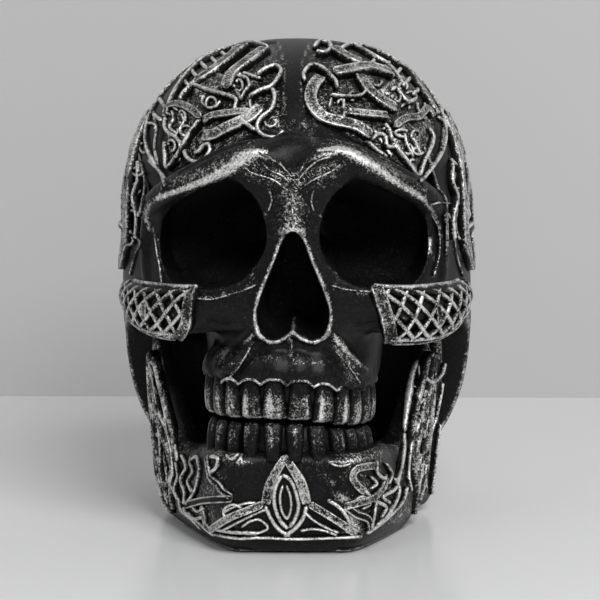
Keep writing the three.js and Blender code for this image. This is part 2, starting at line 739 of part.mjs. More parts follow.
const jawPanelShares = [
  { path: [[0.500, 0.18], [0.520, 0.45], [0.560, 0.65], [0.600, 0.80], [0.630, 0.93]], width: 'narrow' },
  { path: [[0.500, 0.18], [0.620, 0.16], [0.740, 0.18], [0.800, 0.30]], width: 'narrow' },
  { path: [[0.630, 0.93], [0.690, 0.80], [0.740, 0.62], [0.780, 0.45], [0.800, 0.30]], width: 'narrow' },
  { width: 'narrow', path: [
    [0.560, 0.17], [0.600, 0.32], [0.575, 0.48], [0.610, 0.62], [0.650, 0.76], [0.635, 0.90],
  ] },
  { path: [[0.700, 0.17], [0.650, 0.32], [0.680, 0.48], [0.640, 0.62], [0.600, 0.76]], width: 'narrow' },
];

// Lattice sleeve: a curved slab wrapped round the cheekbone, pierced by diamonds and half diamonds
const bandShares = { start: 0.20, end: 0.68, overTop: -0.42, underFoot: 0.42 };
const bandGrowShare = 0.012;

function sleevePoint(side, along, around, lift) {
  const path = cheekPath(side);
  const centre = path.getPoint(along);
  const forward = path.getTangent(along);
  const level = new THREE.Vector3().crossVectors(forward, new THREE.Vector3(0, 0, side)).normalize();
  const size = cheekSize(along);
  const turn = around * Math.PI;
  return centre.addScaledVector(level, (size.thick / 2 + lift) * Math.cos(turn))
    .add(new THREE.Vector3(0, 0, -(size.tall / 2 + lift) * Math.sin(turn)));
}

function evenShares(from, to, steps, grow) {
  const shares = [];
  for (let i = 0; i <= steps; i += 1) shares.push(THREE.MathUtils.lerp(from, to, i / steps));
  return grow > 0 ? [from - grow, ...shares, to + grow] : shares;
}

function sleeveSlab(side, low, high, growShare) {
  const { start, end, overTop, underFoot } = bandShares;
  const arounds = evenShares(overTop, underFoot, bandSteps.around, growShare);
  const rings = evenShares(start, end, bandSteps.along, growShare).map((along) => [
    ...arounds.map((around) => sleevePoint(side, along, around, low)),
    ...arounds.map((around) => sleevePoint(side, along, around, high)).reverse(),
  ]);
  return loft(rings);
}

function sleeveCell(side, corners) {
  const middle = [0, 1].map((axis) => corners.reduce((sum, c) => sum + c[axis], 0) / corners.length);
  const drawn = corners.map((corner) => corner.map(
    (value, axis) => THREE.MathUtils.lerp(middle[axis], value, band.openShare)));
  return loft([-band.wall, 2 * band.wall + band.seat].map((lift) => (
    drawn.map(([along, around]) => sleevePoint(side, along, around, lift)))));
}

function cheekBand(side) {
  const rim = band.rimShare;
  const [start, end] = [bandShares.start, bandShares.end].map((share, i) => share + (i ? -rim : rim) * 0.25);
  const [high, low] = [bandShares.overTop + rim, bandShares.underFoot - rim];
  const halfCell = [(end - start) / bandCounts.cells / 2, (low - high) / bandCounts.rows / 2];
  const cells = [];
  for (let c = 0; c <= 2 * bandCounts.cells; c += 1) {
    for (let r = 0; r <= 2 * bandCounts.rows; r += 1) {
      const atEnds = (c === 0 || c === 2 * bandCounts.cells) && (r === 0 || r === 2 * bandCounts.rows);
      if ((c + r) % 2 || atEnds) continue;
      const [along, around] = [start + c * halfCell[0], high + r * halfCell[1]];
      const corners = [
        [along - halfCell[0], around], [along, around - halfCell[1]],
        [along + halfCell[0], around], [along, around + halfCell[1]],
      ];
      const inside = corners.filter(([a, b]) => (
        a > start - probeShare && a < end + probeShare && b > high - probeShare && b < low + probeShare));
      cells.push(sleeveCell(side, inside));
    }
  }
  return solid(sleeveSlab(side, band.seat, band.seat + band.wall, 0)).subtract(joined(cells));
}

// Space under the skull between and before the rami: a block with a slanting roof, cut from the brain case
const throatShares = {
  half: 1.2, ahead: -1.3, front: -0.28, roofEnd: 0.24, back: 0.27,
  foot: -0.1, roofFront: 0.46, roofBack: 0.372, corner: 0.342,
};

function throatCut() {
  const { half, ahead, front, roofEnd, back, foot, roofFront, roofBack, corner } = throatShares;
  const rings = [half, -half].map((across) => [
    place(across, ahead, foot), place(across, back, foot), place(across, back, corner),
    place(across, roofEnd, roofBack), place(across, front, roofFront), place(across, ahead, roofFront),
  ]);
  return loft(rings);
}

// Height of that roof at a place from front to back; the jaw's hinge knobs stand under it
function roofLevel(back) {
  const { front, roofEnd, roofFront, roofBack } = throatShares;
  const along = (back / (skullLength / 2) - front) / (roofEnd - front);
  return THREE.MathUtils.lerp(roofFront, roofBack, along) * skullHeight;
}

function cylinder(diameter, low, high, across, back, facets = 12) {
  const geometry = new THREE.CylinderGeometry(diameter / 2, diameter / 2, high - low, facets);
  geometry.rotateX(Math.PI / 2);
  geometry.translate(across, back, (low + high) / 2);
  return geometry;
}

// Oval neck that carries the brain case, and the slab that closes it underneath
const ovalSteps = 20;
const plateShares = { acrossHalf: 0.42, backHalf: 0.20, backCentre: 0.535 };

function ovalSlab(low, high, grow) {
  const geometry = new THREE.CylinderGeometry(1, 1, high - low, ovalSteps);
  geometry.rotateX(Math.PI / 2);
  geometry.scale(
    plateShares.acrossHalf * halfWidth + grow, plateShares.backHalf * skullLength / 2 + grow, 1);
  geometry.translate(0, plateShares.backCentre * skullLength / 2, (low + high) / 2);
  return geometry;
}

const padShares = {
  front_left: [-0.25, -0.715], front_right: [0.25, -0.715],
  rear_left: [-0.22, 0.535], rear_right: [0.22, 0.535],
};

function neckGeometry() {
  const slab = plateShares;
  const grow = [[0, 0], [0.35, 0.03], [1, 0.16]];
  const rings = grow.map(([rise, wider]) => {
    const ring = [];
    for (let s = 0; s < ovalSteps; s += 1) {
      const turn = 2 * Math.PI * s / ovalSteps;
      ring.push(new THREE.Vector3(
        Math.cos(turn) * ((slab.acrossHalf + wider) * halfWidth + base.plateRim),
        slab.backCentre * skullLength / 2
          + Math.sin(turn) * (slab.backHalf * skullLength / 2 + base.plateRim),
        footLevel + rise * base.neckRise,
      ));
    }
    return ring;
  });
  return loft(rings);
}

function padCentre(name) {
  const [across, back] = padShares[name];
  return place(across, back, 0);
}

function padRecess(name) {
  const centre = padCentre(name);
  const width = name.startsWith('front') ? jaw.bodyThick * 0.72 : pad.diameter;
  return cylinder(width + 2 * clearance, footLevel - cutOverrun, pad.thick + clearance, centre.x, centre.y);
}

function padGeometry(name) {
  const centre = padCentre(name);
  const width = name.startsWith('front') ? jaw.bodyThick * 0.72 : pad.diameter;
  return cylinder(width, 0, pad.thick, centre.x, centre.y);
}

function footCut(level) {
  const geometry = new THREE.BoxGeometry(skullWidth * 2, skullLength * 2, skullHeight);
  geometry.translate(0, 0, level - skullHeight / 2);
  return geometry;
}

const upperTeeth = toothRow(upperRow);
const lowerTeeth = toothRow(lowerRow);
const upperSeat = toothSeat(upperRow);
const lowerSeat = toothSeat(lowerRow);

function craniumSolid() {
  const vault = solid(vaultGeometry()).subtract(solid(throatCut()));
  const parts = [faceGeometry(), nasalRoof(), glabella(), neckGeometry()];
  for (const side of [1, -1]) parts.push(browRidge(side), cheekGeometry(side));
  let whole = vault.add(joined(parts));
  whole = whole.subtract(joined([orbitPocket(1), orbitPocket(-1)]));
  whole = whole.add(joined([orbitPost(1), orbitPost(-1), socketWall(1), socketWall(-1), noseLip()]));
  whole = whole.subtract(solid(nosePocket()));
  const [low, high] = [band.seat - clearance, band.seat + band.wall + cutOverrun];
  for (const side of [1, -1]) whole = whole.subtract(solid(sleeveSlab(side, low, high, bandGrowShare)));
  whole = whole.subtract(upperSeat).subtract(lowerSeat);
  whole = whole.subtract(solid(footCut(footLevel)));
  return whole.subtract(solid(ovalSlab(-cutOverrun, footLevel + base.plateThick + clearance, clearance)));
}

function jawSolid() {
  let whole = solid(jawGeometry()).subtract(lowerSeat).subtract(upperSeat);
  for (const name of ['front_left', 'front_right']) whole = whole.subtract(solid(padRecess(name)));
  return whole;
}

function plateSolid() {
  let whole = solid(ovalSlab(footLevel, footLevel + base.plateThick, 0));
  for (const name of ['rear_left', 'rear_right']) whole = whole.subtract(solid(padRecess(name)));
  return whole;
}

// Materials
const blackResin = new THREE.MeshStandardMaterial({ color: 0x17171a, roughness: 0.5, metalness: 0.1 });
const rubbedSilver = new THREE.MeshStandardMaterial({ color: 0x8f8c88, roughness: 0.42, metalness: 0.75 });
const darkTeeth = new THREE.MeshStandardMaterial({ color: 0x3a3a3c, roughness: 0.4, metalness: 0.3 });
const plainPlate = new THREE.MeshStandardMaterial({ color: 0x141416, roughness: 0.7, metalness: 0 });
const blackFelt = new THREE.MeshStandardMaterial({ color: 0x101012, roughness: 0.95, metalness: 0 });

const group = new THREE.Group();

function addPiece(name, whole, material) {
  const mesh = new THREE.Mesh(whole.isBufferGeometry ? whole : finished(whole), material);
  mesh.name = name;
  group.add(mesh);
}

addPiece('cranium_casting', craniumSolid(), blackResin);
addPiece('jaw_casting', jawSolid(), blackResin);
addPiece('upper_teeth', upperTeeth, darkTeeth);
addPiece('lower_teeth', lowerTeeth, darkTeeth);
addPiece('chin_knot', strapwork(jawSurface, sidedStraps(chinArchShares, 1), jawSeat, strap.shortStep),
  rubbedSilver);
const strapPieces = {
  forehead_knot: { surface: vaultSurface, shares: foreheadShares, seat: vaultSeat, step: strap.step },
  temple_knot: { surface: vaultSurface, shares: templeShares, seat: vaultSeat, step: strap.step },
  jaw_panel: { surface: jawSurface, shares: jawPanelShares, seat: jawSeat, step: strap.step },
  jaw_knot: { surface: jawSurface, shares: jawKnotShares, seat: jawSeat, step: strap.shortStep },
};
for (const [word, side] of [['left', -1], ['right', 1]]) {
  addPiece(`cheek_band_${word}`, cheekBand(side), rubbedSilver);
  for (const [name, { surface, shares, seat, step }] of Object.entries(strapPieces)) {
    addPiece(`${name}_${word}`, strapwork(surface, sidedStraps(shares, side), seat, step), rubbedSilver);
  }
}
addPiece('base_plate', plateSolid(), plainPlate);
for (const name of Object.keys(padShares)) addPiece(`felt_pad_${name}`, padGeometry(name), blackFelt);

const middle = new THREE.Box3().setFromObject(group).getCenter(new THREE.Vector3());
for (const piece of group.children) piece.geometry.translate(0, -middle.y, 0);

export default group;
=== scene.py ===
import math
import bpy
import bmesh
import numpy as np
from mathutils import Matrix, Vector
from mathutils.bvhtree import BVHTree


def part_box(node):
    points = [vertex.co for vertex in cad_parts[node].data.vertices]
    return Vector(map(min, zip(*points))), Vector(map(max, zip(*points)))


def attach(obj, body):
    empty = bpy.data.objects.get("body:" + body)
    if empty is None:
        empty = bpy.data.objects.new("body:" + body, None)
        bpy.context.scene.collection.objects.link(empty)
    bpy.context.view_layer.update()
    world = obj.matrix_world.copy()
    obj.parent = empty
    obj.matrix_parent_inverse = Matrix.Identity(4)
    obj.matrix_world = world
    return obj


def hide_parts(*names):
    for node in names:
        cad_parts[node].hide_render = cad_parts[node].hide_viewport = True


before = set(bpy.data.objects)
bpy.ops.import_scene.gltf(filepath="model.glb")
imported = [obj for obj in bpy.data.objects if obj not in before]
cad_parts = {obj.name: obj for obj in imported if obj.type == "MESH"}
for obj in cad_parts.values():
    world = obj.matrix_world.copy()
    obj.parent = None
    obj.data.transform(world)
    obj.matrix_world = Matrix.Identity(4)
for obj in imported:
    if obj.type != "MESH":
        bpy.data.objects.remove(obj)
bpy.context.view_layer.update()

scene = bpy.context.scene

skull = {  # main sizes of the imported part, in metres
    "halfWidth": 0.058,
    "halfLength": 0.075,
    "height": 0.160,
    "plateBack": 0.535,      # where the base plate sits, as a share of half the length
    "voxel": 0.0009,         # finest form that the castings hold
    "firstVoxel": 0.0011,    # the cranium's first cast, before the sockets are cut
    "footLevel": 0.0006,     # where the cranium is cut off above the base plate
    "kept": 0.73,            # share of the cranium's faces that stay once its back is thinned
}
plateLow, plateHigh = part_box("base_plate")
backShift = (plateLow.y + plateHigh.y) / 2 - skull["plateBack"] * skull["halfLength"]


# sums used by every piece

def smoothShare(low, high, value):
    t = np.clip((np.asarray(value, float) - low) / (high - low), 0, 1)
    return t * t * (3 - 2 * t)


def bell(value, spread):
    return np.exp(-(np.asarray(value, float) / spread) ** 2)


def unitLength(vectors):
    return vectors / np.maximum(np.linalg.norm(vectors, axis=-1, keepdims=True), 1e-12)


def place(across, back, up):  # shares of half the width, half the length and the height
    return np.stack(np.broadcast_arrays(
        np.asarray(across, float) * skull["halfWidth"],
        np.asarray(back, float) * skull["halfLength"] + backShift,
        np.asarray(up, float) * skull["height"]), axis=-1)


def readTable(rows, key):  # rows of [key, value, ...] with a smooth curve through them
    table = np.array(rows, float)
    key = np.clip(np.asarray(key, float), table[0, 0], table[-1, 0])
    high = np.clip(np.searchsorted(table[:, 0], key), 1, len(table) - 1)
    low = high - 1
    before = table[np.maximum(low - 1, 0)]
    after = table[np.minimum(high + 1, len(table) - 1)]
    first, last = table[low], table[high]
    span = (last[..., :1] - first[..., :1])
    t = (key[..., None] - first[..., :1]) / span
    slopeIn = (last - before) / (last[..., :1] - before[..., :1]) * span
    slopeOut = (after - first) / (after[..., :1] - first[..., :1]) * span
    return ((2 * t**3 - 3 * t**2 + 1) * first + (t**3 - 2 * t**2 + t) * slopeIn
            + (3 * t**2 - 2 * t**3) * last + (t**3 - t**2) * slopeOut)


def curveThrough(points, share, closed=False):  # a smooth curve through points, read at shares from 0 to 1
    points = np.array(points, float)
    count = len(points)
    if closed:
        spot = np.mod(np.asarray(share, float), 1) * count
        low = np.floor(spot).astype(int) % count
        knots = [points[(low + k) % count] for k in (-1, 0, 1, 2)]
    else:
        longer = np.vstack([2 * points[0] - points[1], points, 2 * points[-1] - points[-2]])
        spot = np.clip(np.asarray(share, float), 0, 1) * (count - 1)
        low = np.minimum(np.floor(spot).astype(int), count - 2)
        knots = [longer[low + k] for k in (0, 1, 2, 3)]
    t = (spot - np.floor(spot) if closed else spot - low)[..., None]
    gaps = [np.maximum(np.linalg.norm(knots[k + 1] - knots[k], axis=-1, keepdims=True), 1e-9) ** 0.5
            for k in range(3)]
    slopeIn = ((knots[1] - knots[0]) / gaps[0] - (knots[2] - knots[0]) / (gaps[0] + gaps[1])
               + (knots[2] - knots[1]) / gaps[1]) * gaps[1]
    slopeOut = ((knots[2] - knots[1]) / gaps[1] - (knots[3] - knots[1]) / (gaps[1] + gaps[2])
                + (knots[3] - knots[2]) / gaps[2]) * gaps[1]
    return ((2 * t**3 - 3 * t**2 + 1) * knots[1] + (t**3 - 2 * t**2 + t) * slopeIn
            + (3 * t**2 - 2 * t**3) * knots[2] + (t**3 - t**2) * slopeOut)


def headingOf(path, share):
    return unitLength(curveThrough(path, np.minimum(share + 0.01, 1))
                      - curveThrough(path, np.maximum(share - 0.01, 0)))


# sheets and castings

def mappedSheet(alongCount, roundCount, shape, rub=None, endless=False):
    # a grid laid by a function of two shares, closed where its edges meet and capped where they don't
    sheet = bmesh.new()
    bmesh.ops.create_grid(sheet, x_segments=alongCount, y_segments=roundCount, size=1)
    flat = (np.array([v.co[:2] for v in sheet.verts]) + 1) / 2
    points = shape(flat[:, 0], flat[:, 1])
    worn = np.zeros(len(points)) if rub is None else rub(flat[:, 0], flat[:, 1])
    layer = sheet.verts.layers.float.new("rub")
    for vert, point, value in zip(sheet.verts, points, worn):
        vert.co = point
        vert[layer] = value
    bmesh.ops.remove_doubles(sheet, verts=sheet.verts, dist=1e-7)
    openEdges = [edge for edge in sheet.edges if edge.is_boundary]
    if openEdges and not endless:
        bmesh.ops.holes_fill(sheet, edges=openEdges, sides=0)
    bmesh.ops.recalc_face_normals(sheet, faces=sheet.faces)
    return sheet


def pieceFrom(name, sheets):
    whole = bmesh.new()
    whole.verts.layers.float.new("rub")
    for sheet in sheets:
        part = bpy.data.meshes.new("part")
        sheet.to_mesh(part)
        sheet.free()
        whole.from_mesh(part)
        bpy.data.meshes.remove(part)
    mesh = bpy.data.meshes.new(name)
    whole.to_mesh(mesh)
    whole.free()
    piece = bpy.data.objects.new(name, mesh)
    scene.collection.objects.link(piece)
    return piece


def settle(piece):  # applies what modifiers the piece has
    graph = bpy.context.evaluated_depsgraph_get()
    shaped = bpy.data.meshes.new_from_object(piece.evaluated_get(graph))
    piece.modifiers.clear()
    old = piece.data
    piece.data = shaped
    bpy.data.meshes.remove(old)


def recast(piece, voxel):  # one even skin round everything in the piece
    step = piece.modifiers.new("recast", "REMESH")
    step.mode = "VOXEL"
    step.voxel_size = voxel
    settle(piece)


def carve(piece, cutter):
    step = piece.modifiers.new("carve", "BOOLEAN")
    step.operation = "DIFFERENCE"
    step.solver = "MANIFOLD"
    step.object = cutter
    settle(piece)
    bpy.data.objects.remove(cutter)


def pointsOf(piece):
    points = np.empty(len(piece.data.vertices) * 3, np.float32)
    piece.data.vertices.foreach_get("co", points)
    return points.reshape(-1, 3).astype(float)


def normalsOf(piece):
    normals = np.empty(len(piece.data.vertices) * 3, np.float32)
    piece.data.vertices.foreach_get("normal", normals)
    return normals.reshape(-1, 3).astype(float)


def setPoints(piece, points):
    piece.data.vertices.foreach_set("co", points.astype(np.float32).ravel())
    piece.data.update()


def edgesOf(piece):
    edges = np.empty(len(piece.data.edges) * 2, np.int32)
    piece.data.edges.foreach_get("vertices", edges)
    return edges.reshape(-1, 2)


def evened(values, edges, rounds, pull=0.5):  # each point drawn towards its neighbours
    count = np.zeros(len(values))
    np.add.at(count, edges[:, 0], 1)
    np.add.at(count, edges[:, 1], 1)
    count = np.maximum(count, 1).reshape(-1, *[1] * (values.ndim - 1))
    for _ in range(rounds):
        total = np.stack([
            np.bincount(edges[:, 0], values[edges[:, 1], k], len(values))
            + np.bincount(edges[:, 1], values[edges[:, 0], k], len(values))
            for k in range(values.shape[1])], axis=1)
        values = values + (total / count - values) * pull
    return values


def giveLayer(piece, name, values):
    layer = piece.data.attributes.get(name) or piece.data.attributes.new(name, "FLOAT", "POINT")
    layer.data.foreach_set("value", values.astype(np.float32))


def standing(piece, edges, rounds):  # how far each point stands out from its surroundings, in metres
    points = pointsOf(piece)
    return ((points - evened(points, edges, rounds)) * normalsOf(piece)).sum(axis=1)


def shadeSmooth(piece):
    piece.data.polygons.foreach_set("use_smooth", [True] * len(piece.data.polygons))


def finishPiece(piece, material, slot, *nodes):
    shadeSmooth(piece)
    piece.data.materials.clear()
    piece.data.materials.append(material)
    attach(piece, "root")
    if nodes:
        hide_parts(*nodes)


def roundBar(path, sizes, alongCount=48, roundCount=24, reference=(0, 0, 1)):
    # a bar along a path, whose sizes (thick, tall) change evenly from one end to the other
    sizes = np.array(sizes, float)

    def shape(u, v):
        centre = curveThrough(path, u)
        forward = headingOf(path, u)
        side = unitLength(np.cross(forward, np.array(reference, float)))
        up = np.cross(side, forward)
        reach = np.linspace(0, 1, len(sizes))
        thick = np.interp(u, reach, sizes[:, 0])[:, None] / 2
        tall = np.interp(u, reach, sizes[:, 1])[:, None] / 2
        turn = (2 * np.pi * v)[:, None]
        return centre + side * thick * np.cos(turn) + up * tall * np.sin(turn)

    return mappedSheet(alongCount, roundCount, shape)


# camera, first because some lines are laid on by where they are seen

view = {"azimuth": 1.0, "elevation": 8, "distance": 0.945, "lens": 169.6, "aimHeight": 0.0722,
        "shift": 3.5 / 600, "film": 36, "picture": 600}  # film in mm, picture in pixels


def makeCamera():
    turn, tilt = math.radians(view["azimuth"]), math.radians(view["elevation"])
    data = bpy.data.cameras.new("photoCamera")
    data.lens = view["lens"]
    data.sensor_width = view["film"]
    data.shift_x = view["shift"]
    camera = bpy.data.objects.new("photoCamera", data)
    camera.location = (view["distance"] * math.sin(turn) * math.cos(tilt),
                       backShift - view["distance"] * math.cos(turn) * math.cos(tilt),
                       view["aimHeight"] + view["distance"] * math.sin(tilt))
    camera.rotation_euler = (math.pi / 2 - tilt, 0, turn)
    scene.collection.objects.link(camera)
    scene.camera = camera
    return camera


camera = makeCamera()


def treeOf(piece):
    return BVHTree.FromPolygons([v.co[:] for v in piece.data.vertices],
                                [p.vertices[:] for p in piece.data.polygons])


def sightLine(frameOf, x, y):  # towards a place in the 600 by 600 view
    middle, whole = view["picture"] / 2, view["picture"]
    return (frameOf @ Vector(((x - middle) / whole + view["shift"], (middle - y) / whole,
                              -view["lens"] / view["film"]))).normalized()


def seenOn(piece):
    # a surface read by where it is seen in the 600 by 600 view: the first thing the sight line meets
    tree = treeOf(piece)
    bpy.context.view_layer.update()
    frameOf = camera.matrix_world.to_3x3()

    def surface(across, down):
        lines = [sightLine(frameOf, x, y) for x, y in zip(np.ravel(across), np.ravel(down))]
        found = [tree.ray_cast(camera.location, line) for line in lines]
        met = [spot for spot, hit in enumerate(found) if hit[0] is not None]
        for spot, line in enumerate(lines):
            if found[spot][0] is None:  # a line that misses takes what is beside it, as deep as its neighbour
                deep = view["distance"] - 0.05
                if met:
                    deep = found[min(met, key=lambda other: abs(other - spot))][3]
                found[spot] = tree.find_nearest(camera.location + line * deep)
        points, normals = [hit[0][:] for hit in found], np.array([hit[1][:] for hit in found])
        if len(normals) > 6:
            padded = np.pad(normals, ((3, 3), (0, 0)), mode="edge")
            normals = sum(padded[k:k + len(normals)] for k in range(7))
        return np.array(points), unitLength(normals)
    return surface


def seenAt(points):  # where points are seen, in the 600 by 600 view
    local = (points - np.array(camera.location)) @ np.array(camera.rotation_euler.to_matrix())
    middle, whole = view["picture"] / 2, view["picture"]
    scale = whole * view["lens"] / view["film"] / -local[:, 2]
    return middle + local[:, 0] * scale - whole * view["shift"], middle - local[:, 1] * scale


def brushed(points, normals, strokes):
    # silver brushed on in strokes seen from the front: rows of strength, half width at each end, path
    x, y = seenAt(points)
    towardsCamera = unitLength(np.array(camera.location) - np.array([0, 0, 0.07]))
    facing = smoothShare(0.02, 0.35, normals @ towardsCamera)
    value = np.zeros(len(points))
    for strength, widths, path in strokes:
        path = curveThrough(path, np.linspace(0, 1, 4 * len(path)))
        halves = np.interp(np.linspace(0, 1, len(path)), np.linspace(0, 1, len(widths)), widths)
        for first, last, half in zip(path[:-1], path[1:], halves):
            way = last - first
            t = np.clip(((x - first[0]) * way[0] + (y - first[1]) * way[1]) / max(way @ way, 1e-9), 0, 1)
            away = np.hypot(x - first[0] - t * way[0], y - first[1] - t * way[1])
            value = np.maximum(value, strength * bell(away / half, 1))
    return value * facing


# brain case

vault = {
    "centreBack": 0.04, "centreUp": 0.575, "front": 0.473, "back": 0.46, "top": 0.418, "bottom": 0.57,
    "roundTop": 2.3, "roundBottom": 3.0,
    "swells": [  # towards, spread, amount
        ((0, -0.62, 0.78), 0.42, 0.022), ((0.82, -0.52, 0.02), 0.3, -0.035), ((0, 0.72, -0.69), 0.5, -0.07),
        ((0.72, 0.35, 0.6), 0.45, 0.015), ((0, 0.97, -0.2), 0.4, 0.03), ((0.5, 0.75, -0.55), 0.35, -0.03),
        ((0.87, 0.26, -0.42), 0.30, 0.05)],
}


def vaultStretch(unit):
    length = 2 * skull["halfLength"]
    return np.stack([
        np.full(unit.shape[:-1], skull["halfWidth"]),
        length * np.where(unit[..., 1] < 0, vault["front"], vault["back"]),
        skull["height"] * np.where(unit[..., 2] > 0, vault["top"], vault["bottom"])], axis=-1)


vaultCentre = np.array([0, vault["centreBack"] * 2 * skull["halfLength"] + backShift,
                        vault["centreUp"] * skull["height"]])


def vaultFromUnit(unit):
    rising = smoothShare(-0.55, 0.2, unit[..., 2])
    power = vault["roundBottom"] + (vault["roundTop"] - vault["roundBottom"]) * rising
    scale = (np.abs(unit) ** power[..., None]).sum(axis=-1) ** (-1 / power)
    for towards, spread, amount in vault["swells"]:
        folded = unit * 1.0
        folded[..., 0] = np.abs(folded[..., 0])
        aside = np.linalg.norm(folded - unitLength(np.array(towards, float)), axis=-1)
        scale = scale * (1 + amount * bell(aside, spread))
    return vaultCentre + unit * scale[..., None] * vaultStretch(unit)


def unitFromMap(across, up):  # map values count quarter turns away from straight ahead
    turn = np.hypot(across, up) * np.pi / 2
    around = np.arctan2(up, across)
    return np.stack([np.sin(turn) * np.cos(around), -np.cos(turn), np.sin(turn) * np.sin(around)], axis=-1)


def mapFromPoints(points):
    away = points - vaultCentre
    unit = unitLength(away / vaultStretch(away))
    turn = np.arccos(np.clip(-unit[:, 1], -1, 1)) / (np.pi / 2)
    around = np.arctan2(unit[:, 2], unit[:, 0])
    return turn * np.cos(around), turn * np.sin(around)


def vaultSurface(across, up):
    across, up = np.asarray(across, float), np.asarray(up, float)
    probe = 0.004
    point = vaultFromUnit(unitFromMap(across, up))
    right = vaultFromUnit(unitFromMap(across + probe, up)) - vaultFromUnit(unitFromMap(across - probe, up))
    above = vaultFromUnit(unitFromMap(across, up + probe)) - vaultFromUnit(unitFromMap(across, up - probe))
    return point, unitLength(np.cross(right, above))


# face

face = {
    "rows": [  # height, half width, front
        [0.322, 0.470, -0.835], [0.352, 0.485, -0.855], [0.410, 0.500, -0.850], [0.455, 0.540, -0.865],
        [0.520, 0.650, -0.862], [0.600, 0.715, -0.862], [0.670, 0.745, -0.872], [0.730, 0.740, -0.890],
        [0.775, 0.690, -0.850]],
    "back": -0.30, "rear": 0.4, "planLow": 2.5, "planHigh": 2.1,
    "orbit": [
        [0.145, 0.622], [0.168, 0.680], [0.228, 0.716], [0.310, 0.738], [0.420, 0.732], [0.560, 0.705],
        [0.670, 0.672], [0.708, 0.630], [0.700, 0.575], [0.650, 0.542], [0.530, 0.530], [0.380, 0.532],
        [0.260, 0.552], [0.175, 0.590]],
    "orbitRows": [[-1.4, 1.06, 0], [0, 1, 0], [0.3, 0.88, 0.25], [0.65, 0.7, 0.65], [1, 0.45, 1]],
    "orbitDepth": 0.030, "orbitInward": 0.4, "orbitUpward": 0.03,
    "nose": [
        [0.000, 0.645], [0.045, 0.630], [0.095, 0.583], [0.150, 0.535], [0.190, 0.490], [0.188, 0.458],
        [0.150, 0.434], [0.090, 0.430], [0.030, 0.442], [0.000, 0.452]],
    "noseRows": [[-0.5, 1, 0], [0, 1, 0], [0.5, 0.93, 0.5], [1, 0.78, 1]],
    "noseDepth": 0.026, "noseUpward": 0.03, "lip": 0.0024,
    "brow": [[0.02, -0.82, 0.765], [0.17, -0.845, 0.790], [0.33, -0.825, 0.776], [0.50, -0.775, 0.746],
             [0.66, -0.675, 0.712], [0.765, -0.56, 0.680], [0.80, -0.47, 0.650]],
    "browSizes": [[0.011, 0.0088], [0.011, 0.011], [0.011, 0.0088], [0.0065, 0.0065]],
    "browFill": [[0.05, -0.83, 0.738], [0.16, -0.83, 0.742], [0.27, -0.82, 0.748]],
    "browFillSizes": [[0.010, 0.010], [0.010, 0.010]],
    "glabella": [[-0.22, -0.80, 0.765], [0, -0.815, 0.77], [0.22, -0.80, 0.765]],
    "glabellaSizes": [[0.011, 0.011], [0.011, 0.024], [0.011, 0.011]],
    "nasalRoof": [[0, -0.80, 0.745], [0, -0.845, 0.70], [0, -0.875, 0.665], [0, -0.895, 0.635]],
    "nasalSizes": [[0.0117, 0.009], [0.009, 0.0072], [0.0099, 0.0054]],
    "post": [[0.775, -0.53, 0.68], [0.795, -0.485, 0.62], [0.79, -0.50, 0.55], [0.75, -0.55, 0.48]],
    "postSizes": [[0.007, 0.007], [0.007, 0.007]],
    "wall": [[0.745, -0.36, 0.715], [0.765, -0.34, 0.63], [0.765, -0.34, 0.54], [0.78, -0.36, 0.485]],
    "wallSizes": [[0.008, 0.026], [0.008, 0.026]],
    "cheek": [[0.30, -0.70, 0.485], [0.47, -0.715, 0.475], [0.66, -0.62, 0.468], [0.83, -0.42, 0.466],
              [0.915, -0.18, 0.470], [0.925, 0.06, 0.478], [0.86, 0.25, 0.488]],
    "cheekThick": [0.0085, 0.0055], "cheekTall": [0.014, 0.0085],  # in front and behind
    "neck": {"halfWide": 0.42, "halfLong": 0.20, "wider": [[0, 0], [0.35, 0.03], [1, 0.16]], "rim": 0.0045,
             "foot": 0.0005, "tall": 0.026},
    "throat": {"half": 1.2, "ahead": -1.3, "front": -0.28, "roofEnd": 0.24, "back": 0.27, "foot": -0.1,
               "roofFront": 0.46, "roofBack": 0.372, "corner": 0.342},
}


def sided(rows, side):
    return [place(side * across, back, up) for across, back, up in rows]


def faceRow(height):
    row = readTable(face["rows"], height)
    power = face["planLow"] + (face["planHigh"] - face["planLow"]) * smoothShare(0.352, 0.600, height)
    return row[..., 1], row[..., 2], power


def faceFront(across, height, lift=0):
    halfWide, front, power = faceRow(height)
    reach = np.minimum(np.abs(across) / halfWide, 0.985)
    depth = (1 - reach ** power) ** (1 / power)
    point = place(across, face["back"] + (front - face["back"]) * depth, height)
    point[..., 1] -= lift
    return point


def faceBlock():
    def shape(u, v):
        height = face["rows"][0][0] + (face["rows"][-1][0] - face["rows"][0][0]) * u
        halfWide, front, power = faceRow(height)
        c, d = np.cos(2 * np.pi * v), np.sin(2 * np.pi * v)
        stretch = (np.abs(c) ** power + np.abs(d) ** power) ** (-1 / power)
        back = face["back"] + d * stretch * (front - face["back"]) * np.where(d > 0, 1, face["rear"])
        return place(c * stretch * halfWide, back, height)
    return mappedSheet(60, 120, shape)


def pocket(outline, depth, rows, inward, upward):
    # a hollow that narrows as it goes back from the face
    middle = outline.mean(axis=0)

    def shape(u, v):
        deep, scale, shift = (curveThrough(np.array(rows), u)[:, k] for k in range(3))
        rim = curveThrough(outline, v, closed=True)
        return np.stack([
            middle[0] + (rim[:, 0] - middle[0]) * scale + inward * shift,
            middle[1] + depth * deep + (rim[:, 1] - middle[1]) * (1 - np.maximum(deep, 0)),
            middle[2] + (rim[:, 2] - middle[2]) * scale + upward * shift], axis=1)
    return mappedSheet(40, 96, shape)


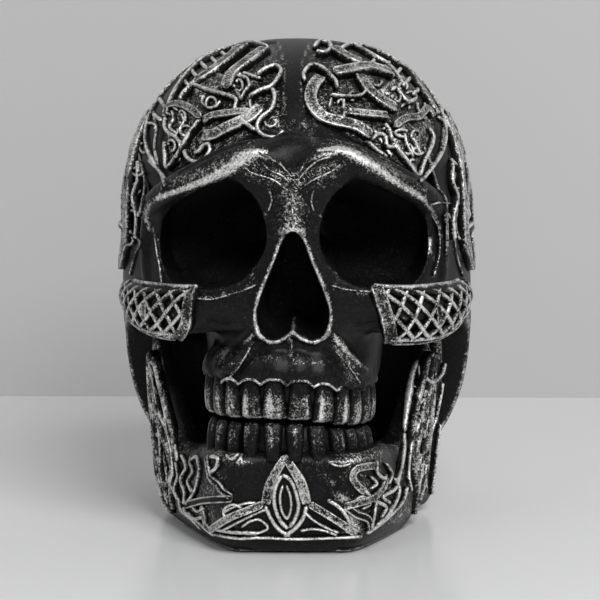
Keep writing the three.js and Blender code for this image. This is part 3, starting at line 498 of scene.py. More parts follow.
def orbitPocket(side):
    outline = np.array([faceFront(side * across, up) for across, up in face["orbit"]])
    depth = face["orbitDepth"]
    return pocket(outline, depth, face["orbitRows"], -side * depth * face["orbitInward"],
                  depth * face["orbitUpward"])


def wholeNose():  # the table gives one half
    return face["nose"] + [[-across, up] for across, up in face["nose"][1:-1]][::-1]


def noseOutline(lift):
    return np.array([faceFront(across, up, lift) for across, up in wholeNose()])


def nosePocket():
    return pocket(noseOutline(0), face["noseDepth"], face["noseRows"], 0,
                  face["noseDepth"] * face["noseUpward"])


def noseLip():
    path = noseOutline(face["lip"] * 0.15)
    middle = path.mean(axis=0)

    def shape(u, v):
        rim = curveThrough(path, u, closed=True)
        outward = rim - middle
        outward[:, 1] = 0
        outward = unitLength(outward)
        turn = (2 * np.pi * v)[:, None]
        half = face["lip"] / 2
        return (rim + outward * half * (0.6 + np.cos(turn))
                + np.array([0, 1, 0]) * half * 1.6 * np.sin(turn))
    return mappedSheet(120, 16, shape, endless=True)


def cheekSizes(along):
    thin = smoothShare(0.35, 0.8, along)
    return [ahead + (behind - ahead) * thin for ahead, behind in (face["cheekThick"], face["cheekTall"])]


def cheekbone(side):
    sizes = [cheekSizes(along) for along in (0, 0.25, 0.5, 0.75, 1)]
    return roundBar(sided(face["cheek"], side), sizes, 72, 28)


def neck():
    own = face["neck"]

    def shape(u, v):
        wider = readTable(own["wider"], u)[:, 1]
        turn = 2 * np.pi * v
        middle = skull["plateBack"] * skull["halfLength"] + backShift
        return np.stack([
            np.cos(turn) * ((own["halfWide"] + wider) * skull["halfWidth"] + own["rim"]),
            middle + np.sin(turn) * (own["halfLong"] * skull["halfLength"] + own["rim"]),
            own["foot"] + u * own["tall"]], axis=1)
    return mappedSheet(20, 64, shape)


def throatBlock():
    own = face["throat"]
    corners = [[own["ahead"], own["foot"]], [own["back"], own["foot"]], [own["back"], own["corner"]],
               [own["roofEnd"], own["roofBack"]], [own["front"], own["roofFront"]],
               [own["ahead"], own["roofFront"]]]
    shape = bmesh.new()
    rim = [shape.verts.new(place(own["half"], back, up)) for back, up in corners]
    side = shape.faces.new(rim)
    pulled = bmesh.ops.extrude_face_region(shape, geom=[side])
    moved = [item for item in pulled["geom"] if isinstance(item, bmesh.types.BMVert)]
    bmesh.ops.translate(shape, verts=moved, vec=(-2 * own["half"] * skull["halfWidth"], 0, 0))
    bmesh.ops.recalc_face_normals(shape, faces=shape.faces)
    return shape


def underFloor(floorLevel):  # all that lies below the casting's foot
    low, high = (-0.1, -0.12, -0.05), (0.1, 0.12, floorLevel)
    shape = bmesh.new()
    bmesh.ops.create_cube(shape, size=1)
    bmesh.ops.scale(shape, verts=shape.verts, vec=[h - l for l, h in zip(low, high)])
    bmesh.ops.translate(shape, verts=shape.verts, vec=[(h + l) / 2 for l, h in zip(low, high)])
    return shape


# teeth

teeth = {
    "height": 0.0122, "thick": 0.0052, "rows": {  # place along the arch and width, in mm
        "upper": [(-33.6, 6.6), (-27.2, 6.6), (-20.6, 7.0), (-13.3, 7.8), (-5.7, 8.6), (2.7, 8.6),
                  (10.8, 8.0), (18.0, 7.2), (24.6, 6.8), (31.0, 6.6), (37.2, 6.6)],
        "lower": [(-33.0, 6.0), (-27.0, 6.0), (-20.5, 6.0), (-13.8, 6.6), (-6.3, 7.2), (1.1, 7.2),
                  (9.0, 7.2), (16.8, 6.6), (23.4, 6.2), (29.8, 6.0), (35.8, 6.0)]},
    "halfWide": 0.505, "front": -0.89, "back": -0.36, "squareness": 2.25, "aside": -0.0022, "along": 0.0019,
    "parting": 0.2725, "gap": 0.0003, "lowerGap": 0.0011, "roll": 0.045,
    "sink": 0.0003, "sinkRight": 0.0032, "sinkLeft": 0.0016,  # both rows drop towards their ends
    # shares of the width and the thickness from root to edge
    "upperWidths": [[-0.2, 0.60], [0, 0.68], [0.3, 0.80], [0.7, 0.92], [0.93, 0.93], [1, 0.80]],
    "lowerWidths": [[-0.2, 0.60], [0, 0.66], [0.3, 0.76], [0.7, 0.84], [0.9, 0.80], [1, 0.58]],
    "thicks": [[-0.2, 0.75], [0, 0.92], [0.3, 1.05], [0.7, 1.0], [0.9, 0.78], [1, 0.40]],
    "gumSection": [[-0.0002, 0.0], [-0.0011, 0.0004], [-0.0014, 0.0022], [-0.0008, 0.0050], [0.0012, 0.0085],
                   [0.0045, 0.0085], [0.0045, 0.0004]],
    "gumRise": 0.0017, "gumLine": 0.0005, "gumOut": 0.0013,
}
partingLevel = teeth["parting"] * skull["height"]


def archPoint(turn, inset, level):
    c, s = np.sin(turn), np.cos(turn)
    power = teeth["squareness"]
    stretch = (np.abs(c) ** power + np.abs(s) ** power) ** (-1 / power)
    deep = (teeth["front"] - teeth["back"]) * skull["halfLength"]
    aside = c * stretch * (teeth["halfWide"] * skull["halfWidth"] - inset) + teeth["aside"]
    sunk = (teeth["sink"] + teeth["sinkRight"] * smoothShare(0.002, 0.024, aside)
            + teeth["sinkLeft"] * smoothShare(-0.004, -0.026, aside))
    return np.stack(np.broadcast_arrays(
        aside, teeth["back"] * skull["halfLength"] + backShift + s * stretch * (deep + inset),
        level - teeth["roll"] * aside - sunk), axis=-1)


def toothTurns(upper):
    turns = np.linspace(-1.75, 1.75, 701)
    path = archPoint(turns, 0, 0.0)
    travelled = np.concatenate([[0], np.cumsum(np.linalg.norm(np.diff(path, axis=0), axis=1))])
    travelled -= travelled[350]
    return [(np.interp(at / 1000 + teeth["along"], travelled, turns), wide / 1000)
            for at, wide in teeth["rows"]["upper" if upper else "lower"]]


def crown(turn, wide, upper):
    # a crown with a rounded front, narrower at its neck, with a worn biting edge
    inset = teeth["thick"] * 0.35
    rootLevel = partingLevel + (teeth["height"] if upper else -teeth["height"] * 0.9)
    edgeLevel = partingLevel + (teeth["gap"] if upper else -teeth["lowerGap"])
    ahead = archPoint(turn + 0.01, inset, 0.0) - archPoint(turn - 0.01, inset, 0.0)
    ahead[2] = 0
    ahead = unitLength(ahead)
    outward = np.array([ahead[1], -ahead[0], 0])
    root = archPoint(turn, inset, rootLevel)
    edge = archPoint(turn, inset + (0 if upper else 0.0012), edgeLevel)

    def shape(u, v):
        along = -0.2 + 1.2 * u
        half = readTable(teeth["upperWidths" if upper else "lowerWidths"], along)[:, 1] * wide / 2
        thick = readTable(teeth["thicks"], along)[:, 1] * teeth["thick"] / 2
        c, s = np.cos(2 * np.pi * v), np.sin(2 * np.pi * v)
        stretch = (np.abs(c) ** 2.4 + np.abs(s) ** 2.4) ** (-1 / 2.4)
        groove = 1 - 0.10 * bell(c - 0.36, 0.12) - 0.10 * bell(c + 0.36, 0.12)
        middle = root + (edge - root) * along[:, None]
        return (middle + ahead * (half * c * stretch)[:, None]
                + outward * (thick * s * stretch * groove)[:, None])

    # silver rub on the front of each crown, with a painted highlight streak down its rounded face
    def rub(u, v):
        across = np.cos(2 * np.pi * v)
        front = smoothShare(0.25, 0.9, np.sin(2 * np.pi * v))
        main = 0.30 + 0.26 * math.sin(turn * 31)  # each tooth has its own streaks
        rubAndHighlightStreak = (0.42 + main * bell(across - 0.34 * math.sin(turn * 23 + 1), 0.24)
                  + 0.24 * bell(across + 0.60 * math.cos(turn * 17), 0.12))
        if upper:
            low = smoothShare(0.12, 0.62, u)
        else:
            low = 0.66 * smoothShare(0.15, 0.6, u) * smoothShare(1.02, 0.85, u)
        rim = bell(u - 0.965, 0.035) * (0.6 if upper else 0.3) * smoothShare(-0.2, 0.3, np.sin(2 * np.pi * v))
        return np.clip(np.maximum(front * rubAndHighlightStreak * low, rim), 0, 1)
    return mappedSheet(26, 32, shape, rub)


def gumLevel(turn, dips):
    away = np.abs(turn[:, None] - dips[None, :]).min(axis=1)
    over = np.sin(np.pi / 2 * np.clip(away / 0.10, 0, 1))
    return partingLevel + teeth["height"] * 0.90 + 0.0002 + teeth["gumRise"] * over


def gumEdge():
    # the gum over the upper teeth: its edge rises over each tooth and dips between them
    centres = np.array([turn for turn, _ in toothTurns(True)])
    between = (centres[1:] + centres[:-1]) / 2
    ends = [centres[0] - (between[0] - centres[0]), centres[-1] + (centres[-1] - between[-1])]
    dips = np.array([ends[0], *between, ends[1]])
    section = np.array(teeth["gumSection"])

    def shape(u, v):
        turn = ends[0] + (ends[1] - ends[0]) * u
        spot = curveThrough(section, v, closed=True)
        return archPoint(turn, spot[:, 0], gumLevel(turn, dips) + spot[:, 1])

    def line(u, v):
        turn = dips[2] + (dips[7] + 0.06 - dips[2]) * u
        around = 2 * np.pi * v
        return archPoint(turn, -teeth["gumOut"] + teeth["gumLine"] * np.cos(around),
                         gumLevel(turn, dips) + 0.0003 + teeth["gumLine"] * np.sin(around))
    return mappedSheet(180, 24, shape), mappedSheet(180, 10, line, lambda u, v: np.full(len(u), 1.0))


def gumBar(upper):
    towards = 1 if upper else -1
    low, high = sorted([partingLevel + towards * teeth["height"] * share for share in (0.2, 1.1)])
    endTurn = max(turn for turn, _ in toothTurns(upper))
    outInset = teeth["thick"] * (0.42 if upper else 0.66)
    inInset = teeth["thick"] * 0.5 + 0.005

    def shape(u, v):
        corners = np.array([[outInset, low], [outInset, high], [inInset, high], [inInset, low]])
        spot = curveThrough(corners, v, closed=True)
        return archPoint((2 * u - 1) * endTurn, spot[:, 0], spot[:, 1])
    return mappedSheet(60, 8, shape)


# lower jaw

jaw = {
    "rows": [  # along, across, back, top, foot
        [0.00, 0.000, -0.845, 0.207, 0.0], [0.08, 0.170, -0.845, 0.206, 0.0],
        [0.17, 0.340, -0.835, 0.203, 0.0], [0.27, 0.495, -0.620, 0.196, 0.0],
        [0.38, 0.590, -0.440, 0.184, 0.0], [0.47, 0.665, -0.300, 0.190, 0.001],
        [0.55, 0.720, -0.210, 0.280, 0.003], [0.62, 0.755, -0.140, 0.372, 0.006],
        [0.70, 0.775, -0.070, 0.366, 0.008], [0.80, 0.785, 0.020, 0.325, 0.010],
        [0.90, 0.785, 0.110, 0.375, 0.020], [1.00, 0.780, 0.180, 0.420, 0.060]],
    "bodyThick": 0.0105, "ramusThick": 0.0065, "gumCover": 0.0012,
    "chinOut": 0.0022, "chinTopIn": 0.0016, "ramusTopOut": 0.0042, "lipOut": 0.0040,
    "ring": [  # share of the height, out, share of the thickness
        [0.0, -0.0016, 0], [0.08, 0, 0], [0.3, 0, 0], [0.55, 0, 0], [0.8, 0, 0], [0.95, -0.0008, 0],
        [1.0, -0.0025, 0.0], [0.97, 0, 1], [0.5, 0, 1], [0.08, 0, 1], [0.0, 0.0016, 1]],
    "rightInset": 0.055,     # the front edge on the viewer's right stands further in
}


def jawRow(along):
    share = np.abs(along)
    side = np.where(along < 0, -1.0, 1.0)
    row = readTable(jaw["rows"], share)
    after = readTable(jaw["rows"], np.minimum(share + 0.01, 1))
    before = readTable(jaw["rows"], np.maximum(share - 0.01, 0))
    aheadX = (after[:, 1] - before[:, 1]) * skull["halfWidth"]
    aheadY = (after[:, 2] - before[:, 2]) * skull["halfLength"]
    outward = np.stack([np.abs(aheadY), -np.abs(aheadX), np.zeros(len(share))], axis=1)
    flat = (share < 0.01) | (aheadY < 0)
    outward[flat] = [0, -1, 0]
    outward = unitLength(outward)
    outward[:, 0] *= side
    inset = jaw["rightInset"] * smoothShare(0.40, 0.56, share) * (1 - smoothShare(0.68, 0.85, share))
    point = place(side * (row[:, 1] - np.where(along > 0, inset, 0)), row[:, 2], 0)
    roof = face["throat"]
    slope = (row[:, 2] - roof["front"]) / (roof["roofEnd"] - roof["front"])
    roofLevel = (roof["roofFront"] + (roof["roofBack"] - roof["roofFront"]) * slope) * skull["height"]
    branchTop = np.minimum(row[:, 3] * skull["height"], roofLevel - 0.0003)
    chinTop = partingLevel - teeth["height"] + jaw["gumCover"]
    top = chinTop + (branchTop - chinTop) * smoothShare(0.22, 0.4, share)
    foot = np.maximum(row[:, 4] * skull["height"], 0) + 0.0005
    thick = jaw["bodyThick"] + (jaw["ramusThick"] - jaw["bodyThick"]) * smoothShare(0.35, 0.6, share)
    return point, outward, top, foot, thick


def jawPoint(along, up, lift=0.0):
    point, outward, top, foot, _ = jawRow(along)
    ramus = smoothShare(0.4, 0.65, np.abs(along))
    chin = jaw["chinOut"] * np.sin(np.pi * np.clip(up * 1.25, -0.2, 1)) - jaw["chinTopIn"] * up * up
    bulge = chin + (jaw["ramusTopOut"] * up - chin) * ramus
    point = point + outward * (bulge + lift)[:, None]
    point[:, 2] = foot + (top - foot) * up
    return point


def jawSurface(along, up):
    along, up = np.asarray(along, float), np.asarray(up, float)
    point = jawPoint(along, up)
    right = jawPoint(along + 0.004, up) - jawPoint(along - 0.004, up)
    above = jawPoint(along, up + 0.02) - jawPoint(along, up - 0.02)
    return point, unitLength(np.cross(right, above))


def jawWall():
    ring = np.array(jaw["ring"])

    def shape(u, v):
        along = 2 * u - 1
        spot = curveThrough(ring, v, closed=True)
        chin = smoothShare(0.36, 0.20, np.abs(along))
        up = np.clip(spot[:, 0], 0, 1)
        out = jaw["lipOut"] * chin * smoothShare(0.45, 0.95, up) * (1 - np.clip(spot[:, 2], 0, 1))
        thick = jawRow(along)[4]
        return jawPoint(along, up, spot[:, 1] + out - thick * np.clip(spot[:, 2], 0, 1))
    return mappedSheet(260, 56, shape)


# straps: flat ribbons with raised edges, laid on a surface

strap = {"hair": 0.0007, "thin": 0.0011, "narrow": 0.0016, "regular": 0.0026, "wide": 0.0042,
         "rise": 0.0015, "sink": 0.0014, "step": 0.0007, "overlap": 0.00022}
strapProfiles = {  # rows of across, height, rub, from the left edge to the middle
    "flat": [[-1.08, -1.0, 0.0], [-1.0, 0.10, 0.10], [-0.93, 0.80, 0.75], [-0.82, 1.00, 1.0],
             [-0.66, 0.93, 0.75], [-0.40, 0.86, 0.62], [0.0, 0.84, 0.60]],
    "double": [[-1.08, -1.0, 0.0], [-1.0, 0.10, 0.15], [-0.90, 0.80, 0.8], [-0.74, 1.00, 1.0],
               [-0.52, 0.80, 0.6], [-0.26, 0.35, 0.1], [0.0, 0.28, 0.05]],
    "cord": [[-1.05, -1.0, 0.0], [-1.0, 0.0, 0.05], [-0.85, 0.55, 0.55], [-0.6, 0.82, 0.9],
             [-0.35, 0.95, 1.0], [-0.15, 1.0, 1.0], [0.0, 1.0, 1.0]],
}
strapKinds = {"hair": "cord", "thin": "cord", "narrow": "cord", "regular": "flat", "wide": "flat"}


def ribbon(surface, path, width, kind, lift=0.0, rise=None, spread=(1, 1)):
    # a strap along a path on a surface; spread gives its width at shares of the way as parts of the full one
    rise = strap["rise"] if rise is None else rise
    flat = [[across, up, 0] for across, up in path]
    half = strapProfiles[kind]
    profile = np.array(half + [[-across, up, rub] for across, up, rub in half[-2::-1]])
    rough, _ = surface(*curveThrough(flat, np.linspace(0, 1, 40))[:, :2].T)
    length = max(np.linalg.norm(np.diff(rough, axis=0), axis=1).sum(), 1e-5)
    steps = int(max(len(path) * 3, length / strap["step"]))
    shares = np.linspace(0, 1, steps + 1)
    spots = curveThrough(flat, shares)[:, :2]
    centre, normal = surface(spots[:, 0], spots[:, 1])
    side = unitLength(np.cross(np.gradient(centre, axis=0), normal))
    normal = unitLength(np.cross(side, np.gradient(centre, axis=0)))
    nearEnd = np.clip(np.minimum(shares, 1 - shares) * length / (width * 0.45), 0, 1)
    rounded = np.sqrt(np.maximum(1 - (1 - nearEnd) ** 2, 0))
    halves = np.interp(shares, np.linspace(0, 1, len(spread)), spread) * width / 2

    def shape(u, v):
        at = np.rint(u * steps).astype(int)
        row = np.rint(v * (len(profile) - 1)).astype(int)
        across = profile[row, 0] * halves[at] * (0.2 + 0.8 * rounded[at])
        height = np.where(profile[row, 1] < 0, profile[row, 1] * strap["sink"],
                          profile[row, 1] * rise * (0.3 + 0.7 * rounded[at]) + lift)
        return centre[at] + side[at] * across[:, None] + normal[at] * height[:, None]

    def rub(u, v):
        return profile[np.rint(v * (len(profile) - 1)).astype(int), 2]
    return mappedSheet(steps, len(profile) - 1, shape, rub)


def strapSheets(surface, straps, side=1, rise=None):
    sheets = []
    for order, row in enumerate(straps):
        name, path = row[0], row[1]
        kind = row[2] if len(row) > 2 and row[2] else strapKinds[name]
        spread = row[3] if len(row) > 3 else (1, 1)
        sheets.append(ribbon(surface, [[side * across, up] for across, up in path], strap[name], kind,
                             lift=strap["overlap"] * (order % 3), rise=rise, spread=spread))
    return sheets


def strapPiece(name, surface, straps, side=1):
    return pieceFrom(name, strapSheets(surface, straps, side))


foreheadLeft = [
    ("narrow", [(-0.527, 0.525), (-0.530, 0.581), (-0.516, 0.680), (-0.490, 0.811), (-0.389, 0.902),
                (-0.241, 0.901), (-0.124, 0.793)]),
    ("wide", [(-0.125, 0.785), (-0.197, 0.680), (-0.245, 0.621), (-0.254, 0.555)]),
    ("wide", [(-0.245, 0.850), (-0.288, 0.724), (-0.343, 0.655), (-0.410, 0.612)]),
    ("narrow", [(-0.441, 0.617), (-0.330, 0.558), (-0.253, 0.528), (-0.208, 0.506), (-0.211, 0.465)]),
    ("narrow", [(-0.458, 0.540), (-0.453, 0.568), (-0.420, 0.606), (-0.400, 0.634)]),
    ("regular", [(-0.514, 0.482), (-0.517, 0.518), (-0.466, 0.519), (-0.393, 0.489), (-0.337, 0.449)]),
    ("regular", [(-0.331, 0.438), (-0.289, 0.453), (-0.225, 0.458), (-0.170, 0.461), (-0.125, 0.446)]),
    ("wide", [(-0.325, 0.388), (-0.281, 0.387), (-0.238, 0.406), (-0.189, 0.426), (-0.147, 0.446),
              (-0.113, 0.482)]),
    ("narrow", [(-0.163, 0.509), (-0.123, 0.533), (-0.083, 0.549), (-0.058, 0.589), (-0.051, 0.618),
                (-0.072, 0.642), (-0.108, 0.629), (-0.141, 0.599)]),
    ("thin", [(-0.189, 0.506), (-0.177, 0.537), (-0.153, 0.567)]),
    ("narrow", [(-0.079, 0.545), (-0.068, 0.509), (-0.078, 0.468), (-0.111, 0.440), (-0.124, 0.416),
                (-0.116, 0.393), (-0.087, 0.379), (-0.052, 0.381), (-0.032, 0.400)]),
    ("narrow", [(-0.190, 0.440), (-0.152, 0.412), (-0.127, 0.396)]),
    ("thin", [(-0.226, 0.609), (-0.179, 0.591), (-0.163, 0.554)]),
    ("narrow", [(-0.392, 0.346), (-0.377, 0.322), (-0.355, 0.309), (-0.323, 0.304), (-0.302, 0.317),
                (-0.287, 0.339), (-0.294, 0.358), (-0.316, 0.352), (-0.330, 0.337), (-0.349, 0.331)]),
    ("narrow", [(-0.487, 0.381), (-0.475, 0.334), (-0.461, 0.293), (-0.423, 0.321), (-0.391, 0.369),
                (-0.374, 0.398), (-0.336, 0.442)]),
    ("narrow", [(-0.518, 0.479), (-0.511, 0.444), (-0.486, 0.417), (-0.440, 0.393), (-0.408, 0.366)]),
    ("thin", [(-0.485, 0.497), (-0.461, 0.456), (-0.474, 0.431), (-0.433, 0.403)]),
    ("thin", [(-0.426, 0.474), (-0.403, 0.437), (-0.416, 0.409), (-0.389, 0.386)]),
    ("thin", [(-0.342, 0.537), (-0.344, 0.508), (-0.310, 0.481), (-0.278, 0.486), (-0.266, 0.505)]),
]
foreheadRight = [
    ("narrow", [(0.083, 0.790), (0.114, 0.864), (0.154, 0.864), (0.156, 0.787), (0.122, 0.738),
                (0.088, 0.745)]),
    ("wide", [(0.158, 0.805), (0.217, 0.722), (0.279, 0.692)]),
    ("wide", [(0.150, 0.614), (0.224, 0.641), (0.311, 0.672), (0.418, 0.665)]),
    ("narrow", [(0.205, 0.796), (0.291, 0.900), (0.329, 0.834), (0.366, 0.787), (0.419, 0.741),
                (0.441, 0.667), (0.452, 0.604)]),
    ("regular", [(0.323, 0.924), (0.466, 0.908), (0.544, 0.863), (0.590, 0.780), (0.585, 0.660),
                 (0.604, 0.572), (0.627, 0.520)]),
    ("narrow", [(0.038, 0.571), (0.035, 0.603), (0.064, 0.645), (0.100, 0.637), (0.129, 0.604),
                (0.152, 0.572), (0.155, 0.545)]),
    ("wide", [(0.104, 0.600), (0.068, 0.549), (0.059, 0.505), (0.072, 0.472), (0.104, 0.443),
              (0.153, 0.429), (0.217, 0.416), (0.275, 0.384)]),
    ("narrow", [(0.253, 0.367), (0.292, 0.336), (0.325, 0.318)]),
    ("thin", [(0.126, 0.517), (0.186, 0.513), (0.245, 0.524), (0.269, 0.551)]),
    ("thin", [(0.178, 0.509), (0.174, 0.468)]),
    ("thin", [(0.133, 0.509), (0.123, 0.471)]),
    ("regular", [(0.188, 0.459), (0.263, 0.456), (0.342, 0.455)]),
    ("wide", [(0.250, 0.625), (0.279, 0.556), (0.318, 0.521), (0.390, 0.488)]),
    ("narrow", [(0.377, 0.565), (0.401, 0.580), (0.417, 0.554), (0.443, 0.528), (0.498, 0.555)]),
    ("regular", [(0.361, 0.422), (0.411, 0.453), (0.476, 0.470), (0.552, 0.523), (0.578, 0.493)]),
    ("narrow", [(0.322, 0.430), (0.339, 0.410), (0.346, 0.373)]),
    ("narrow", [(0.269, 0.371), (0.293, 0.391), (0.320, 0.385), (0.324, 0.356), (0.355, 0.350)]),
    ("narrow", [(0.359, 0.351), (0.397, 0.313), (0.444, 0.267), (0.473, 0.310), (0.540, 0.406),
                (0.521, 0.438)]),
    ("thin", [(0.431, 0.392), (0.448, 0.363), (0.462, 0.333)]),
    ("thin", [(0.397, 0.404), (0.403, 0.363), (0.428, 0.321)]),
]
temple = [
    ("narrow", [(0.460, 0.245), (0.528, 0.300), (0.600, 0.365), (0.660, 0.455), (0.690, 0.560),
                (0.680, 0.680), (0.600, 0.815), (0.480, 0.930)]),
    ("regular", [(0.773, 0.020), (0.771, 0.171), (0.748, 0.269), (0.727, 0.369), (0.720, 0.452),
                 (0.700, 0.540)]),
    ("regular", [(0.760, 0.020), (0.750, 0.150), (0.740, 0.290), (0.780, 0.420), (0.860, 0.480),
                 (0.950, 0.420)]),
    ("regular", [(0.850, -0.060), (0.790, 0.080), (0.820, 0.220), (0.900, 0.300), (0.980, 0.360),
                 (1.060, 0.330)]),
    ("regular", [(0.760, 0.020), (0.850, -0.060), (0.960, -0.080), (1.080, -0.040), (1.160, 0.060),
                 (1.180, 0.200)]),
    ("regular", [(1.180, 0.200), (1.140, 0.340), (1.040, 0.460), (0.900, 0.560), (0.780, 0.570),
                 (0.735, 0.440), (0.735, 0.290)]),
    ("regular", [(0.900, 0.550), (0.840, 0.400), (0.900, 0.260), (1.000, 0.180), (1.080, 0.060),
                 (1.080, -0.040)]),
    ("narrow", [(0.780, 0.080), (0.900, 0.090), (1.000, 0.060), (1.100, 0.120), (1.180, 0.200)]),
    ("narrow", [(0.662, 0.046), (0.650, 0.130), (0.680, 0.205), (0.640, 0.257), (0.655, 0.330)]),
    ("narrow", [(0.700, 0.560), (0.760, 0.600), (0.860, 0.590), (0.900, 0.550)]),
]
chinArch = [  # as seen in the 600 by 600 view
    ("wide", [(287, 456), (277, 470), (270, 485), (266.5, 499), (265.5, 504)], "flat", (0.6, 0.85, 0.75)),
    ("wide", [(283, 456), (294, 470), (301.5, 483), (305.5, 497), (307, 504)], "flat", (0.6, 0.85, 0.75)),
    ("narrow", [(282, 474), (275.5, 486), (274, 499), (276.5, 512), (282, 522), (288.5, 528)]),
    ("narrow", [(282, 474), (290, 479), (296, 492), (298.5, 506), (295.5, 518), (288.5, 528)]),
    ("thin", [(283, 484), (280, 496), (282, 511), (287, 518), (291, 508), (290, 494), (286, 484)]),
    ("regular", [(263, 503), (249, 509), (233, 516), (219, 525), (213, 530)]),
    ("thin", [(266, 509), (252, 515), (238, 522), (222, 531)]),
    ("regular", [(309, 503), (324, 512), (339, 521), (352, 530)]),
    ("thin", [(304, 511), (313, 519), (325, 526), (340, 532)]),
    ("narrow", [(265, 505), (271, 518), (279, 529), (291, 536)]),
    ("narrow", [(307, 505), (303, 518), (295, 528), (283, 536)]),
    ("thin", [(213, 532), (234, 536), (262, 536.5), (290, 537.5), (325, 537), (361, 534)]),
    ("narrow", [(211, 528), (232, 531), (258, 533)]),
    ("thin", [(241, 527), (249, 521), (259, 519), (268, 527), (258, 532), (246, 531)]),
    ("thin", [(300, 530), (312, 528), (326, 530), (338, 534)]),
    ("regular", [(345, 527), (357, 533)]),
    ("thin", [(224, 514), (234, 507), (245, 503), (256, 502)]),
    ("thin", [(228, 518), (226, 510), (234, 504), (243, 508)]),
]
jawKnotLeft = [
    ("regular", [(209, 455), (210, 468), (213, 478), (220, 484), (225, 491), (233, 497)], "double"),
    ("regular", [(233, 498), (220, 499), (203, 501), (188, 505)], "double"),
    ("narrow", [(187, 506), (190, 513), (198, 518), (206, 516)]),
    ("regular", [(203, 504), (206, 515), (208, 524), (213, 531)]),
    ("narrow", [(200, 457), (202, 470), (200, 482), (196, 494), (188, 504)]),
    ("narrow", [(184, 454), (189, 468), (184, 480), (188, 493), (187, 504)]),
    ("narrow", [(199, 456), (192, 462), (195, 472), (190, 482), (194, 492)]),
    ("narrow", [(212, 457), (220, 459), (218, 468), (213, 472)]),
    ("thin", [(178, 462), (181, 476), (178, 490), (184, 502)]),
    ("narrow", [(190, 512), (200, 521), (210, 530), (216, 534)]),
    ("narrow", [(182, 498), (184, 509), (194, 518), (204, 528)]),
    ("thin", [(227, 456), (233, 461), (240, 455)]),
    ("thin", [(172, 470), (174, 486), (180, 500)]),
    ("thin", [(195, 505), (200, 511), (207, 508)]),
]
jawKnotRight = [
    ("regular", [(375, 465), (365, 466), (355, 469), (352, 477), (357, 486), (364, 492)]),
    ("narrow", [(374, 460), (375, 473), (383, 481), (382, 490)]),
    ("regular", [(384, 475), (379, 488), (369, 498), (357, 502), (344, 506)]),
    ("narrow", [(362, 488), (372, 500), (384, 507), (379, 517)]),
    ("regular", [(345, 505), (355, 514), (366, 519), (368, 530)], "double"),
    ("narrow", [(373, 501), (371, 514), (368, 530)]),
    ("narrow", [(388, 503), (381, 497), (393, 489), (398, 474)]),
    ("narrow", [(327, 499), (336, 504), (344, 512), (350, 524)]),
    ("narrow", [(391, 478), (396, 490), (392, 503), (384, 515), (374, 524)]),
    ("thin", [(353, 500), (361, 496), (368, 504), (360, 509)]),
    ("thin", [(383, 463), (389, 474), (386, 484)]),
    ("narrow", [(404, 487), (400, 500), (390, 512), (376, 524), (364, 532)]),
    ("thin", [(330, 463), (340, 466), (352, 463)]),
    ("thin", [(368, 476), (374, 483), (368, 488)]),
]
branchLines = [  # on the jaw's branches, as seen
    ("narrow", [(161, 356), (164, 382), (169, 408), (174, 428), (177, 448), (179, 462)]),
    ("thin", [(152, 356), (155, 377), (159, 400), (161, 423), (163, 446), (164, 471), (169, 487)]),
    ("hair", [(157, 364), (161, 387), (167, 413), (170, 433), (174, 453), (176, 471), (174, 487)]),
    ("hair", [(155, 423), (157, 446), (160, 469), (163, 484)]),
    ("thin", [(152, 358), (160, 372)]),
    ("regular", [(418, 360), (413, 375), (410, 392), (407, 413), (404, 433)], "cord", (0.7, 1.2, 0.7)),
    ("narrow", [(404, 433), (402, 454), (398, 474), (393, 484)]),
    ("thin", [(419, 364), (419, 382), (418, 400), (414, 418), (410, 438), (407, 459), (406, 476),
              (409, 492)]),
    ("narrow", [(423, 377), (429, 382), (439, 374), (442, 364)]),
    ("thin", [(441, 382), (438, 400), (434, 418), (429, 433), (424, 454), (423, 474), (424, 489)]),
    ("hair", [(427, 413), (423, 428), (425, 443), (417, 460), (419, 474), (413, 486)]),
    ("thin", [(437, 423), (434, 449), (431, 474), (429, 494)]),
    ("hair", [(412, 384), (422, 396), (415, 410), (424, 420)]),
]
jawPanel = [
    ("regular", [(0.470, 0.16), (0.474, 0.50), (0.482, 0.78), (0.510, 0.93), (0.555, 0.97),
                 (0.600, 0.985)], "cord"),
    ("regular", [(0.470, 0.62), (0.510, 0.66), (0.550, 0.66), (0.590, 0.68), (0.622, 0.75),
                 (0.640, 0.92)], "cord"),
    ("narrow", [(0.600, 0.98), (0.640, 0.90), (0.680, 0.80), (0.700, 0.62), (0.690, 0.40), (0.660, 0.22),
                (0.560, 0.12), (0.470, 0.14)]),
    ("narrow", [(0.470, 0.62), (0.490, 0.42), (0.540, 0.30), (0.585, 0.25), (0.579, 0.39), (0.545, 0.52)]),
    ("narrow", [(0.500, 0.80), (0.540, 0.78), (0.575, 0.74), (0.620, 0.72), (0.640, 0.62), (0.620, 0.50)]),
    ("narrow", [(0.625, 0.45), (0.600, 0.40), (0.560, 0.36), (0.530, 0.30), (0.510, 0.20)]),
    ("narrow", [(0.520, 0.92), (0.535, 0.82), (0.515, 0.70), (0.525, 0.56), (0.500, 0.46), (0.505, 0.34)]),
    ("thin", [(0.560, 0.92), (0.580, 0.84), (0.560, 0.76), (0.600, 0.66), (0.575, 0.56), (0.605, 0.50)]),
    ("thin", [(0.660, 0.78), (0.640, 0.70), (0.665, 0.58), (0.640, 0.44), (0.650, 0.32), (0.610, 0.24)]),
    ("thin", [(0.480, 0.30), (0.500, 0.26), (0.520, 0.14)]),
]


# lattice sleeves round the cheekbones

